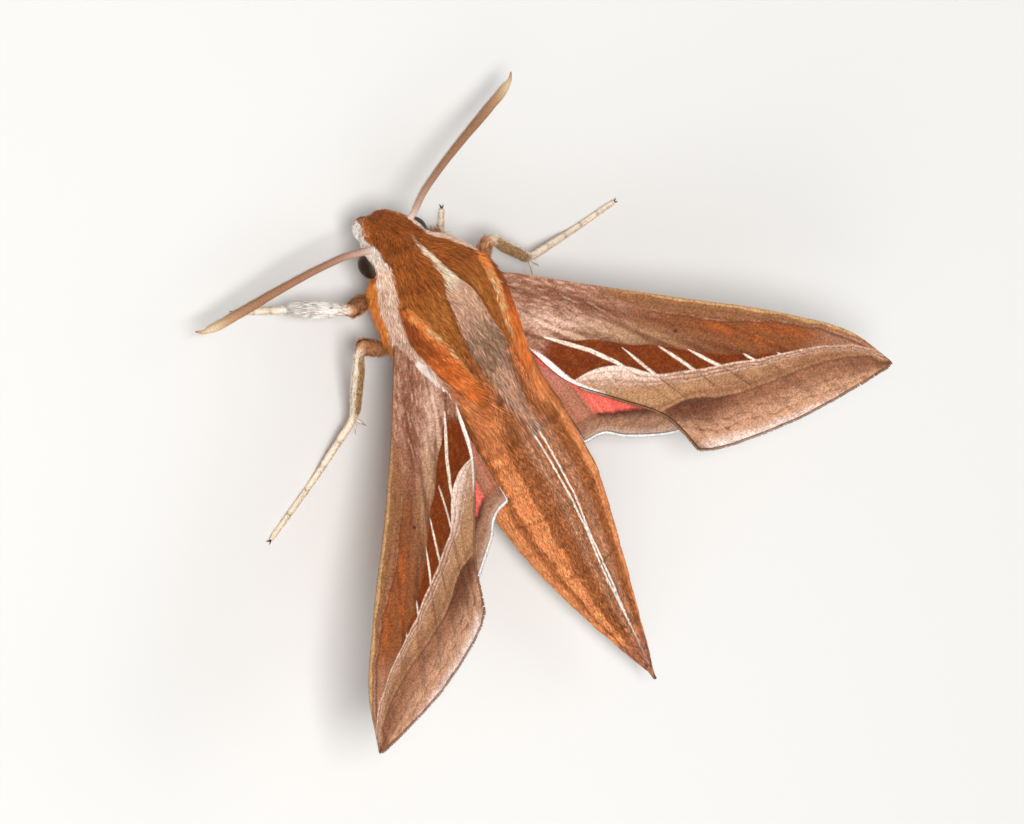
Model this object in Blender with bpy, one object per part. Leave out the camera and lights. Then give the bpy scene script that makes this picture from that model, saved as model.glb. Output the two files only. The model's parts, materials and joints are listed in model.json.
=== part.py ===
"""A double-striped hawkmoth at life size, standing with its long wings half spread.

The moth faces -Y with its left side towards +X, and its feet stand on z = 0.
Lengths are in metres. The body is laid out in a frame of its own: x to the
moth's left, y towards the tail and z up its back, from a point on the axis of
the thorax between the wing roots. The empty "body_frame" carries that frame,
raised above the ground and pitched a little head up, and "head_frame" on it
turns the head a little to the moth's left.
"""

import math

import bmesh
import bpy
import numpy as np
from mathutils import Vector

# Stance: the frame's origin is under the middle of the whole moth
AXIS_HEIGHT = 0.0065
AXIS_FORWARD = 0.010607
PITCH = math.radians(4.0)
GAP = 0.0003

# Thorax: rows of y and half width, its centre line below the body axis
THORAX_SECTIONS = (
    (-0.0044, 0.0030),
    (-0.0035, 0.0037),
    (-0.0022, 0.0042),
    (0.0000, 0.00455),
    (0.0025, 0.0044),
    (0.0050, 0.0039),
    (0.0084, 0.00375),
)
THORAX_LEVEL = -0.0005
THORAX_SQUASH = 0.89
THORAX_RINGS = 15
THORAX_SIDES = 24

# Abdomen and tail tuft: rows of y, radius and height of the centre line
ABDOMEN_SECTIONS = (
    (0.0087, 0.00385, -0.00072),
    (0.0120, 0.00410, -0.00082),
    (0.0150, 0.00405, -0.00087),
    (0.0182, 0.00358, -0.00087),
    (0.0213, 0.00288, -0.00080),
    (0.0244, 0.00203, -0.00065),
    (0.0273, 0.00122, -0.00052),
)
ABDOMEN_RINGS = 22
ABDOMEN_SIDES = 24
TUFT_SECTIONS = (
    (0.0276, 0.00118, -0.00050),
    (0.0287, 0.00082, -0.00045),
    (0.0298, 0.00048, -0.00038),
    (0.0313, 0.00012, -0.00030),
)
TUFT_RINGS = 8
TUFT_SIDES = 12
TUFT_LOCKS = (
    # angle round the tail from the top, where the lock starts and ends, and its half width
    (math.radians(0.0), 0.02795, 0.03135, 0.00040),
    (math.radians(48.0), 0.02785, 0.03085, 0.00038),
    (math.radians(-48.0), 0.02785, 0.03085, 0.00038),
    (math.radians(96.0), 0.02780, 0.03045, 0.00036),
    (math.radians(-96.0), 0.02780, 0.03045, 0.00036),
    (math.radians(140.0), 0.02785, 0.03070, 0.00036),
    (math.radians(-140.0), 0.02785, 0.03070, 0.00036),
    (math.radians(180.0), 0.02795, 0.03110, 0.00034),
)
LOCK_STATIONS = 7
LOCK_HALF_THICKNESS = 0.00016
LOCK_TIP = 0.22
LOCK_LIFT = 0.00010
LOCK_FLARE = 0.00012

# Head, in its own frame
HEAD_PLACE = (0.0006, -0.0054, -0.0010)
HEAD_YAW = math.radians(3.0)
HEAD_HALF_AXES = (0.00225, 0.0022, 0.00215)
HEAD_SEGMENTS = 24
HEAD_RINGS = 14
EYE_PLACE = (0.00185, 0.00015, -0.00050)
EYE_RADIUS = 0.00102
EYE_SEGMENTS = 20
EYE_RINGS = 12
PALP_PLACE = (0.00082, -0.00205, -0.00138)
PALP_HALF_AXES = (0.00074, 0.00092, 0.00096)
PALP_SEGMENTS = 12
PALP_RINGS = 8
COIL_PLACE = (0.0, -0.0016, -0.00256)
COIL_STATIONS = 18
COIL_SIDES = 8
COIL_RADIUS = 0.00062
COIL_INNER_RADIUS = 0.00022
COIL_TURNS = 1.25
COIL_TUBE_RADIUS = 0.00014

# Antennae: rows of reach outwards, forwards and down from the root, and radius
ANTENNA_ROOT = (0.0021, -0.00115, 0.00075)
ANTENNA_SHAPE = (
    (0.0000, 0.00000, 0.00000, 0.00024),
    (0.0015, 0.00060, 0.00020, 0.00026),
    (0.0035, 0.00105, 0.00055, 0.00027),
    (0.0065, 0.00145, 0.00120, 0.00031),
    (0.0098, 0.00175, 0.00200, 0.00037),
    (0.0118, 0.00200, 0.00242, 0.00030),
    (0.0124, 0.00218, 0.00254, 0.00016),
    (0.0128, 0.00252, 0.00262, 0.00007),
)
ANTENNA_RINGS = 18
ANTENNA_SIDES = 8

# Shoulder plates: rows of y, lower edge and upper edge as angles from the top of the back
TEGULA_SECTIONS = (
    (-0.0025, math.radians(56.0), math.radians(54.0)),
    (-0.0019, math.radians(63.0), math.radians(47.0)),
    (-0.0005, math.radians(64.0), math.radians(38.0)),
    (0.0015, math.radians(61.0), math.radians(33.0)),
    (0.0033, math.radians(53.0), math.radians(31.0)),
    (0.0048, math.radians(46.0), math.radians(33.0)),
    (0.0060, math.radians(42.0), math.radians(39.0)),
)
TEGULA_THICKNESS = 0.00058
TEGULA_EDGE = 0.00022
TEGULA_ROWS = 11
TEGULA_COLUMNS = 7

# Wings
WING_THICKNESS = 0.00055
WING_ROOT_EXTRA = 0.00018
WING_ROOT_LENGTH = 0.12
VEIN_HALF_WIDTH = 0.00022
VEIN_TAPER = 0.45
VEIN_RISE = 0.00017
VEIN_UNDER_RISE = 0.00007
FOREWING_STATIONS = 14
HINDWING_STATIONS = 10

# Forewing surface above the point (x, y) of the body frame: its level, slopes and arches
FOREWING_SURFACE = (-0.00152, 0.365, 0.346, -14.7, 27.3, -26.7)
HINDWING_SURFACE = (-0.00238, 0.272, 0.340, 11.3, -11.7, -9.2)

# Vein routes from the root to the margin, as x and y. The first and last are the
# wing's edges, and a root's x is worked out from the thorax.
FOREWING_VEINS = (
    ((0.0, -0.0004), (0.00575, 0.0011), (0.0085, 0.0036), (0.013, 0.0076),
     (0.0189, 0.01285), (0.0222, 0.0166), (0.0236, 0.0199)),
    ((0.0, 0.0004), (0.0095, 0.0056), (0.0155, 0.0112), (0.0203, 0.0161), (0.0231, 0.02005)),
    ((0.0, 0.0011), (0.0092, 0.0065), (0.0148, 0.012), (0.0188, 0.0163), (0.0214, 0.02005)),
    ((0.0, 0.0018), (0.0088, 0.007), (0.0136, 0.0119), (0.0157, 0.0145), (0.019, 0.02)),
    ((0.0, 0.0024), (0.0084, 0.0074), (0.01206, 0.01096), (0.0137, 0.0141), (0.0166, 0.0199)),
    ((0.0, 0.003), (0.0078, 0.0075), (0.01057, 0.0098), (0.0119, 0.0131), (0.0143, 0.0196)),
    ((0.0, 0.0036), (0.0067, 0.0073), (0.00854, 0.0094), (0.0099, 0.0125), (0.0121, 0.0192)),
    ((0.0, 0.0043), (0.0054, 0.0074), (0.0084, 0.0117), (0.0098, 0.0147), (0.0108, 0.0188)),
    ((0.0, 0.0051), (0.0044, 0.009), (0.0065, 0.0117), (0.0089, 0.0148), (0.01, 0.01835)),
)
HINDWING_VEINS = (
    ((0.0, 0.0042), (0.0075, 0.0056), (0.0118, 0.009), (0.0145, 0.012), (0.0152, 0.014)),
    ((0.0, 0.0047), (0.008, 0.0074), (0.0119, 0.0112), (0.0143, 0.0153)),
    ((0.0, 0.0052), (0.0075, 0.0082), (0.0104, 0.0118), (0.012, 0.0162)),
    ((0.0, 0.0057), (0.0066, 0.0086), (0.0086, 0.0122), (0.0094, 0.0164)),
    ((0.0, 0.0061), (0.0058, 0.009), (0.0065, 0.012), (0.0065, 0.01485)),
    ((0.0, 0.0065), (0.0049, 0.009), (0.0053, 0.0116), (0.0053, 0.0137)),
    ((0.0, 0.0069), (0.00412, 0.0088), (0.00416, 0.0112), (0.00408, 0.0134)),
)

# Legs. "root" is y and the angle round the thorax from the top of the back, "joints"
# are knee and ankle in the body frame, "ground" is where the foot meets the ground and
# where it ends, and "swell" is how much the thigh, shin and foot bulge between joints.
LEG_ROOT_REACH = 0.0009
LEG_RADII = (0.00045, 0.00047, 0.00040, 0.00033, 0.00027, 0.00023)
LEG_BEND = 0.0005
LEG_SINK = 0.6
LEGS = {
    "foreleg_left": {
        "root": (-0.0022, math.radians(138.0)),
        "joints": ((0.00555, -0.0033, -0.0015), (0.0085, -0.0052, -0.0040)),
        "ground": ((0.0102, -0.00645), (0.0110, -0.00687)),
        "swell": (0.25, 0.75, 0.05),
        "spurs": 0,
    },
    "foreleg_right": {
        "root": (-0.0022, math.radians(-138.0)),
        "joints": ((-0.0036, -0.0034, -0.0042), (-0.0043, -0.0012, -0.0055)),
        "ground": ((-0.0052, -0.00286), (-0.0061, -0.00406)),
        "swell": (0.1, 0.4, 0.05),
        "spurs": 0,
    },
    "midleg_left": {
        "root": (0.0010, math.radians(132.0)),
        "joints": ((0.0064, -0.0009, -0.0012), (0.0083, 0.0039, -0.0040)),
        "ground": ((0.0124, 0.00596), (0.0174, 0.00756)),
        "swell": (0.3, 0.35, 0.05),
        "spurs": 2,
    },
    "midleg_right": {
        "root": (0.0010, math.radians(-132.0)),
        "joints": ((-0.0060, -0.0015, -0.0016), (-0.0089, 0.0022, -0.0040)),
        "ground": ((-0.0136, 0.00275), (-0.0174, 0.0029)),
        "swell": (0.3, 0.35, 0.05),
        "spurs": 2,
    },
    "hindleg_left": {
        "root": (0.0050, math.radians(133.0)),
        "joints": ((0.0058, 0.0072, -0.0022), (0.0072, 0.0112, -0.0046)),
        "ground": ((0.0077, 0.0128), (0.0083, 0.0152)),
        "swell": (0.3, 0.3, 0.05),
        "spurs": 2,
    },
    "hindleg_right": {
        "root": (0.0050, math.radians(-133.0)),
        "joints": ((-0.0058, 0.0072, -0.0022), (-0.0072, 0.0112, -0.0046)),
        "ground": ((-0.0077, 0.0128), (-0.0083, 0.0152)),
        "swell": (0.3, 0.3, 0.05),
        "spurs": 2,
    },
}
SPUR_LENGTH = 0.0013
SPUR_RADIUS = 0.00019
SPUR_TIP_RADIUS = 0.00005
SPUR_SPREAD = math.radians(24.0)

# Colours: red, green, blue, alpha
FUR_ORANGE = (0.36, 0.15, 0.05, 1.0)
FUR_BROWN = (0.25, 0.12, 0.05, 1.0)
FUR_CREAM = (0.62, 0.52, 0.42, 1.0)
WING_BROWN = (0.26, 0.17, 0.12, 1.0)
WING_RED = (0.42, 0.10, 0.06, 1.0)
EYE_DARK = (0.05, 0.035, 0.025, 1.0)
LEG_CREAM = (0.60, 0.48, 0.36, 1.0)
ANTENNA_PINK = (0.50, 0.33, 0.26, 1.0)


def clear_scene():
    """Remove every object that the file starts with."""
    for old in list(bpy.data.objects):
        bpy.data.objects.remove(old, do_unlink=True)


def add_collection(name):
    """Make a collection in the scene."""
    group = bpy.data.collections.new(name)
    bpy.context.scene.collection.children.link(group)
    return group


def add_empty(group, name, place, turn, parent=None):
    """Make a frame that other objects hang on, and settle its world matrix."""
    empty = bpy.data.objects.new(name, None)
    empty.location = place
    empty.rotation_euler = turn
    empty.parent = parent
    empty.empty_display_size = 0.002
    group.objects.link(empty)
    bpy.context.view_layer.update()
    return empty


def add_finish(name, colour, roughness):
    """Make a material with one colour."""
    finish = bpy.data.materials.new(name)
    finish.use_nodes = True
    shader = finish.node_tree.nodes["Principled BSDF"]
    shader.inputs["Base Color"].default_value = colour
    shader.inputs["Roughness"].default_value = roughness
    shader.inputs["Metallic"].default_value = 0.0
    return finish


def smooth_rows(rows, at):
    """Values of a table at other places of its first column, on smooth cubics through its rows."""
    table = np.array(rows)
    key = table[:, 0]
    slope = np.gradient(table, key, axis=0)
    at = np.asarray(at, dtype=float)
    low = np.clip(np.searchsorted(key, at, side="right") - 1, 0, len(key) - 2)
    width = (key[low + 1] - key[low])[:, None]
    t = ((at - key[low]) / width[:, 0])[:, None]
    rise = table[low + 1] - table[low]
    start = slope[low] * width
    end = slope[low + 1] * width
    return table[low] + t * start + t * t * (3 * rise - 2 * start - end) + t ** 3 * (start + end - 2 * rise)


def smooth_route(points, count):
    """Points at equal parts of the length of a smooth curve through a few points."""
    points = np.array(points, dtype=float)
    steps = np.linalg.norm(np.diff(points, axis=0), axis=1)
    along = np.concatenate(([0.0], np.cumsum(steps)))
    rows = np.column_stack((along, points))
    return smooth_rows(rows, np.linspace(0.0, along[-1], count))[:, 1:]


def thorax_radius(y):
    """Half width of the thorax at y."""
    return float(smooth_rows(THORAX_SECTIONS, [y])[0, 1])


def on_thorax(y, angle, clearance):
    """Point off the thorax's side at an angle from the top of the back, positive to the left."""
    radius = thorax_radius(y) + clearance
    return Vector((radius * math.sin(angle), y, THORAX_LEVEL + THORAX_SQUASH * radius * math.cos(angle)))


def thorax_side(y, z):
    """Half width of the thorax at y and at the height z."""
    radius = thorax_radius(y)
    across = (z - THORAX_LEVEL) / THORAX_SQUASH
    return math.sqrt(max(radius * radius - across * across, 0.0))


def tube(group, name, centres, radii, sides, parent=None):
    """A round tube along points, with its own radius at each, as a curve with flat ends."""
    centres = np.asarray(centres, dtype=float)
    radii = np.asarray(radii, dtype=float)
    data = bpy.data.curves.new(name, "CURVE")
    data.dimensions = "3D"
    data.bevel_depth = float(radii.max())
    data.bevel_resolution = sides // 2 - 2
    data.use_fill_caps = True
    spline = data.splines.new("POLY")
    spline.points.add(len(centres) - 1)
    spline.points.foreach_set("co", np.column_stack((centres, np.ones(len(centres)))).ravel())
    spline.points.foreach_set("radius", radii / radii.max())
    spline.use_smooth = True
    piece = bpy.data.objects.new(name, data)
    piece.parent = parent
    group.objects.link(piece)
    return piece


def as_mesh(piece):
    """Turn an object into a welded mesh object that stands in the same place."""
    bpy.context.view_layer.update()
    graph = bpy.context.evaluated_depsgraph_get()
    shape = bpy.data.meshes.new_from_object(piece.evaluated_get(graph))
    edit = bmesh.new()
    edit.from_mesh(shape)
    bmesh.ops.remove_doubles(edit, verts=edit.verts, dist=1e-7)
    bmesh.ops.recalc_face_normals(edit, faces=edit.faces)
    edit.to_mesh(shape)
    edit.free()
    solid = bpy.data.objects.new(piece.name, shape)
    for group in piece.users_collection:
        group.objects.link(solid)
    solid.parent = piece.parent
    solid.matrix_world = piece.matrix_world
    name = piece.name
    bpy.data.objects.remove(piece, do_unlink=True)
    solid.name = name
    bpy.context.view_layer.update()
    return solid


def ellipsoid(group, name, half_axes, segments, rings, parent, place=(0.0, 0.0, 0.0)):
    """A ball stretched to three half axes."""
    shape = bpy.data.meshes.new(name)
    edit = bmesh.new()
    bmesh.ops.create_uvsphere(edit, u_segments=segments, v_segments=rings, radius=1.0)
    bmesh.ops.scale(edit, vec=half_axes, verts=edit.verts)
    edit.to_mesh(shape)
    edit.free()
    shape.shade_smooth()
    piece = bpy.data.objects.new(name, shape)
    piece.location = place
    piece.parent = parent
    group.objects.link(piece)
    bpy.context.view_layer.update()
    return piece


def vane(group, name, upper, lower, parent):
    """A thin closed body between two grids of points, split alike on both faces."""
    rows, columns = upper.shape[:2]
    count = rows * columns
    index = np.arange(count).reshape(rows, columns)
    near, far = index[:-1, :-1], index[1:, :-1]
    far_next, near_next = index[1:, 1:], index[:-1, 1:]
    top = np.concatenate((
        np.stack((near, far, far_next), axis=-1).reshape(-1, 3),
        np.stack((near, far_next, near_next), axis=-1).reshape(-1, 3),
    ))
    rim = np.concatenate((index[0, :-1], index[:-1, -1], index[-1, :0:-1], index[:0:-1, 0]))
    onward = np.roll(rim, -1)
    sides = np.concatenate((
        np.stack((rim, onward, onward + count), axis=-1),
        np.stack((rim, onward + count, rim + count), axis=-1),
    ))
    faces = np.concatenate((top, top[:, ::-1] + count, sides))
    points = np.concatenate((upper.reshape(-1, 3), lower.reshape(-1, 3)))
    shape = bpy.data.meshes.new(name)
    shape.from_pydata(points.tolist(), [], faces.tolist())
    edit = bmesh.new()
    edit.from_mesh(shape)
    bmesh.ops.remove_doubles(edit, verts=edit.verts, dist=1e-7)
    bmesh.ops.recalc_face_normals(edit, faces=edit.faces)
    edit.to_mesh(shape)
    edit.free()
    shape.shade_smooth()
    shape.set_sharp_from_angle(angle=math.radians(40.0))
    piece = bpy.data.objects.new(name, shape)
    piece.parent = parent
    group.objects.link(piece)
    return piece


def hide_cutter(piece):
    """Keep a cutting body out of the model."""
    piece.hide_render = True
    piece.display_type = "WIRE"


def cut_away(piece, cutter):
    """Take the cutter's space out of a piece."""
    trim = piece.modifiers.new("trim_" + cutter.name, "BOOLEAN")
    trim.operation = "DIFFERENCE"
    trim.solver = "EXACT"
    trim.object = cutter


def apply_modifiers(piece):
    """Put the shape that a piece's modifiers give into its mesh, and keep its largest closed surface."""
    bpy.context.view_layer.update()
    graph = bpy.context.evaluated_depsgraph_get()
    shape = bpy.data.meshes.new_from_object(piece.evaluated_get(graph))
    piece.modifiers.clear()
    piece.data = shape
    edit = bmesh.new()
    edit.from_mesh(shape)
    keep_largest(edit)
    edit.to_mesh(shape)
    edit.free()


def keep_largest(edit):
    """Delete every loose surface but the one with the most corners."""
    waiting = set(edit.verts)
    surfaces = []
    while waiting:
        reached = {waiting.pop()}
        edge_of_search = list(reached)
        while edge_of_search:
            here = edge_of_search.pop()
            for edge in here.link_edges:
                there = edge.other_vert(here)
                if there not in reached:
                    reached.add(there)
                    edge_of_search.append(there)
        waiting -= reached
        surfaces.append(reached)
    surfaces.sort(key=len)
    loose = [corner for surface in surfaces[:-1] for corner in surface]
    bmesh.ops.delete(edit, geom=loose, context="VERTS")


def join_pieces(piece, others):
    """Fuse other closed mesh objects into a piece with one union, and remove them."""
    if not others:
        return
    group = bpy.data.collections.new("joined_to_" + piece.name)
    bpy.context.scene.collection.children.link(group)
    for other in others:
        group.objects.link(other)
    fuse = piece.modifiers.new("fuse", "BOOLEAN")
    fuse.operation = "UNION"
    fuse.solver = "EXACT"
    fuse.operand_type = "COLLECTION"
    fuse.collection = group
    apply_modifiers(piece)
    for other in others:
        bpy.data.objects.remove(other, do_unlink=True)
    bpy.data.collections.remove(group)


def build_thorax(moth, cutters, body, head):
    """The thorax, with a hollow in front that the head sits in."""
    y = np.linspace(THORAX_SECTIONS[0][0], THORAX_SECTIONS[-1][0], THORAX_RINGS)
    radii = smooth_rows(THORAX_SECTIONS, y)[:, 1]
    centres = np.column_stack((np.zeros_like(y), y, np.zeros_like(y)))
    thorax = tube(moth, "thorax", centres, radii, THORAX_SIDES, body)
    thorax.location.z = THORAX_LEVEL
    thorax.scale.z = THORAX_SQUASH
    thorax = as_mesh(thorax)
    room = [axis + GAP for axis in HEAD_HALF_AXES]
    head_room = ellipsoid(cutters, "head_room", room, HEAD_SEGMENTS, HEAD_RINGS, head)
    hide_cutter(head_room)
    cut_away(thorax, head_room)
    return [thorax]


def build_abdomen(moth, body):
    """The abdomen, one round tapered length."""
    y = np.linspace(ABDOMEN_SECTIONS[0][0], ABDOMEN_SECTIONS[-1][0], ABDOMEN_RINGS)
    rows = smooth_rows(ABDOMEN_SECTIONS, y)
    centres = np.column_stack((np.zeros_like(y), y, rows[:, 2]))
    return [tube(moth, "abdomen", centres, rows[:, 1], ABDOMEN_SIDES, body)]


def build_lock(group, lock, body):
    """One flat lock of the tail tuft: it lies on the core, tapers, and lifts a little at its tip."""
    angle, start, end, half_width = lock
    share = np.linspace(0.0, 1.0, LOCK_STATIONS)
    y = start + share * (end - start)
    core = smooth_rows(TUFT_SECTIONS, y)
    reach = core[:, 1] + LOCK_LIFT + LOCK_FLARE * share * share
    taper = 1.0 - (1.0 - LOCK_TIP) * share ** 1.5
    across = np.array([-1.0, 0.0, 1.0])
    turn = angle + np.zeros((LOCK_STATIONS, 1)) + np.zeros((1, 3))
    outward = np.stack((np.sin(turn), np.zeros_like(turn), np.cos(turn)), axis=-1)
    along_side = np.stack((np.cos(turn), np.zeros_like(turn), -np.sin(turn)), axis=-1)
    middle = np.zeros((LOCK_STATIONS, 3, 3))
    middle[..., 1] = y[:, None]
    middle[..., 2] = core[:, 2][:, None]
    middle += outward * reach[:, None, None]
    middle += along_side * (half_width * taper[:, None] * across)[..., None]
    thick = (LOCK_HALF_THICKNESS * taper[:, None] * (1.0 - 0.5 * across ** 2))[..., None]
    return vane(group, "lock", middle + outward * thick, middle - outward * thick, body)


def build_tail_tuft(moth, cutters, body):
    """The tuft at the end of the abdomen: a pointed core with flat locks that overlap round it."""
    y = np.linspace(TUFT_SECTIONS[0][0], TUFT_SECTIONS[-1][0], TUFT_RINGS)
    rows = smooth_rows(TUFT_SECTIONS, y)
    centres = np.column_stack((np.zeros_like(y), y, rows[:, 2]))
    tuft = as_mesh(tube(moth, "tail_tuft", centres, rows[:, 1], TUFT_SIDES, body))
    join_pieces(tuft, [build_lock(cutters, lock, body) for lock in TUFT_LOCKS])
    return [tuft]


def build_head(moth, cutters, head):
    """The head with a socket for each eye, the eyes, palps and the coiled tongue."""
    skull = ellipsoid(moth, "head", HEAD_HALF_AXES, HEAD_SEGMENTS, HEAD_RINGS, head)
    pieces = [skull]
    room = [axis + GAP for axis in HEAD_HALF_AXES]
    face_room = ellipsoid(cutters, "face_room", room, HEAD_SEGMENTS, HEAD_RINGS, head)
    hide_cutter(face_room)
    for side, label in ((1, "left"), (-1, "right")):
        eye_place = (side * EYE_PLACE[0], EYE_PLACE[1], EYE_PLACE[2])
        eye = ellipsoid(moth, "eye_" + label, (EYE_RADIUS,) * 3, EYE_SEGMENTS, EYE_RINGS, head, eye_place)
        socket = ellipsoid(cutters, "socket_" + label, (EYE_RADIUS + GAP,) * 3, EYE_SEGMENTS, EYE_RINGS,
                           head, eye_place)
        hide_cutter(socket)
        cut_away(skull, socket)
        palp_place = (side * PALP_PLACE[0], PALP_PLACE[1], PALP_PLACE[2])
        palp = ellipsoid(moth, "palp_" + label, PALP_HALF_AXES, PALP_SEGMENTS, PALP_RINGS, head, palp_place)
        cut_away(palp, face_room)
        pieces += [eye, palp]
    pieces.append(build_tongue(moth, head))
    return pieces


def build_tongue(moth, head):
    """The tongue, wound in a flat coil under the face."""
    turn = np.linspace(0.0, COIL_TURNS * 2 * math.pi, COIL_STATIONS)
    reach = np.linspace(COIL_RADIUS, COIL_INNER_RADIUS, len(turn))
    centres = np.column_stack((
        np.full_like(turn, COIL_PLACE[0]),
        COIL_PLACE[1] - reach * np.sin(turn),
        COIL_PLACE[2] + reach * np.cos(turn),
    ))
    radii = np.full_like(turn, COIL_TUBE_RADIUS)
    return tube(moth, "tongue", centres, radii, COIL_SIDES, head)


def build_antennae(moth, head):
    """Both antennae, thickest past the middle and drawn out to a fine hooked tip."""
    pieces = []
    rows = np.array(ANTENNA_SHAPE)
    route = smooth_route(rows, ANTENNA_RINGS)
    for side, label in ((1, "left"), (-1, "right")):
        centres = np.column_stack((
            side * (ANTENNA_ROOT[0] + route[:, 0]),
            ANTENNA_ROOT[1] - route[:, 1],
            ANTENNA_ROOT[2] - route[:, 2],
        ))
        pieces.append(tube(moth, "antenna_" + label, centres, route[:, 3], ANTENNA_SIDES, head))
    return pieces


def build_tegulae(moth, body):
    """The two shoulder plates, which follow the thorax over the wing roots."""
    y = np.linspace(TEGULA_SECTIONS[0][0], TEGULA_SECTIONS[-1][0], TEGULA_ROWS)
    rows = smooth_rows(TEGULA_SECTIONS, y)
    across = np.linspace(0.0, 1.0, TEGULA_COLUMNS)
    pieces = []
    for side, label in ((1, "left"), (-1, "right")):
        upper = np.zeros((TEGULA_ROWS, TEGULA_COLUMNS, 3))
        lower = np.zeros_like(upper)
        for row, (place, low_edge, high_edge) in enumerate(rows):
            crown_along = math.sin(math.pi * (row + 0.5) / TEGULA_ROWS)
            for column, share in enumerate(across):
                angle = side * (low_edge + share * (high_edge - low_edge))
                crown = crown_along * math.sin(math.pi * share)
                thick = TEGULA_EDGE + (TEGULA_THICKNESS - TEGULA_EDGE) * crown
                lower[row, column] = on_thorax(place, angle, GAP)
                upper[row, column] = on_thorax(place, angle, GAP + thick)
        pieces.append(vane(moth, "tegula_" + label, upper, lower, body))
    return pieces


def surface_height(surface, x, y):
    """Height of a wing's middle surface above the point (x, y)."""
    level, across, along, arch_across, twist, arch_along = surface
    return level + across * x + along * y + arch_across * x * x + twist * x * y + arch_along * y * y


def vein_route(vein, surface, stations):
    """Points of a vein in plan, from just off the thorax to the wing's margin."""
    root_y = vein[0][1]
    root_x = thorax_radius(root_y)
    under = surface_height(surface, root_x, root_y) - WING_THICKNESS
    points = ((thorax_side(root_y, under) + GAP, root_y),) + tuple(vein[1:])
    return smooth_route(points, stations)


def build_wing(moth, name, veins, surface, stations, side, body):
    """A wing: a thin arched membrane whose veins stand up as ridges in its own surface.

    Each vein gives three rows of points, its crest and the foot on either side, and
    the membrane between two veins gives one. The first and last vein are the edges.
    """
    along = np.linspace(0.0, 1.0, stations)
    half_width = VEIN_HALF_WIDTH * (1.0 - VEIN_TAPER * along)
    rays = []
    for order, vein in enumerate(veins):
        crest = vein_route(vein, surface, stations)
        direction = np.gradient(crest, axis=0)
        direction /= np.linalg.norm(direction, axis=1)[:, None]
        inward = np.column_stack((-direction[:, 1], direction[:, 0])) * half_width[:, None]
        if order > 0:
            foot = crest - inward
            rays.append(((rays[-1][0] + foot) / 2, 0.0))
            rays.append((foot, 0.0))
        rays.append((crest, 1.0))
        if order < len(veins) - 1:
            rays.append((crest + inward, 0.0))
    plan = np.array([ray for ray, _ in rays])
    ridge = np.array([height for _, height in rays])[:, None] * (1.0 - VEIN_TAPER * along)
    root = np.clip(1.0 - along / WING_ROOT_LENGTH, 0.0, 1.0)
    half = (WING_THICKNESS + WING_ROOT_EXTRA * root) / 2
    x, y = plan[..., 0], plan[..., 1]
    middle = surface_height(surface, x, y)
    upper = np.stack((side * x, y, middle + half + VEIN_RISE * ridge), axis=-1)
    lower = np.stack((side * x, y, middle - half - VEIN_UNDER_RISE * ridge), axis=-1)
    return vane(moth, name, upper, lower, body)


def build_wings(moth, body):
    """Both forewings and both hindwings, the hindwings under the forewings."""
    pieces = []
    for side, label in ((1, "left"), (-1, "right")):
        for kind, veins, surface, stations in (
            ("forewing", FOREWING_VEINS, FOREWING_SURFACE, FOREWING_STATIONS),
            ("hindwing", HINDWING_VEINS, HINDWING_SURFACE, HINDWING_STATIONS),
        ):
            pieces.append(build_wing(moth, kind + "_" + label, veins, surface, stations, side, body))
    return pieces


def leg_joints(leg, body):
    """The leg's joints in world space: root, hip, knee, ankle, first touch of the ground and toe."""
    place, angle = leg["root"]
    points = [on_thorax(place, angle, GAP), on_thorax(place, angle, GAP + LEG_ROOT_REACH)]
    points += [Vector(joint) for joint in leg["joints"]]
    points = [body.matrix_world @ point for point in points]
    for (x, y), radius in zip(leg["ground"], LEG_RADII[-2:]):
        points.append(Vector((x, y - AXIS_FORWARD, LEG_SINK * radius)))
    return points


def leg_route(points, swell):
    """Centres and radii along a leg: straight between its joints and rounded at each."""
    centres = [points[0]]
    radii = [LEG_RADII[0]]
    bulges = (0.0,) + tuple(swell) + (0.0,)
    for number in range(1, len(points)):
        before, here = points[number - 1], points[number]
        if bulges[number - 1] > 0.0:
            centres.append((before + here) / 2)
            radii.append((LEG_RADII[number - 1] + LEG_RADII[number]) / 2 * (1.0 + bulges[number - 1]))
        if number == len(points) - 1:
            centres.append(here)
            radii.append(LEG_RADII[number])
            continue
        arrive = (here - before).normalized() * LEG_BEND
        leave = (points[number + 1] - here).normalized() * LEG_BEND
        centres += [here - arrive, here - arrive / 4 + leave / 4, here + leave]
        radii += [LEG_RADII[number]] * 3
    return centres, radii


def build_spurs(group, points, count):
    """The movable spurs of the shin, as cones beside the ankle that point down the leg."""
    ankle = points[3]
    down_shin = (points[3] - points[2]).normalized()
    outward = down_shin.cross(Vector((0.0, 0.0, 1.0))).normalized()
    spurs = []
    for number in range(count):
        lean = outward * (1 if number else -1)
        aim = (down_shin * math.cos(SPUR_SPREAD) + lean * math.sin(SPUR_SPREAD)).normalized()
        shape = bpy.data.meshes.new("spur")
        edit = bmesh.new()
        bmesh.ops.create_cone(edit, cap_ends=True, segments=7, radius1=SPUR_RADIUS,
                              radius2=SPUR_TIP_RADIUS, depth=SPUR_LENGTH)
        edit.to_mesh(shape)
        edit.free()
        spur = bpy.data.objects.new("spur", shape)
        spur.location = ankle - down_shin * LEG_RADII[3] + aim * SPUR_LENGTH / 2
        spur.rotation_euler = aim.to_track_quat("Z", "Y").to_euler()
        group.objects.link(spur)
        spurs.append(spur)
    return spurs


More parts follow.
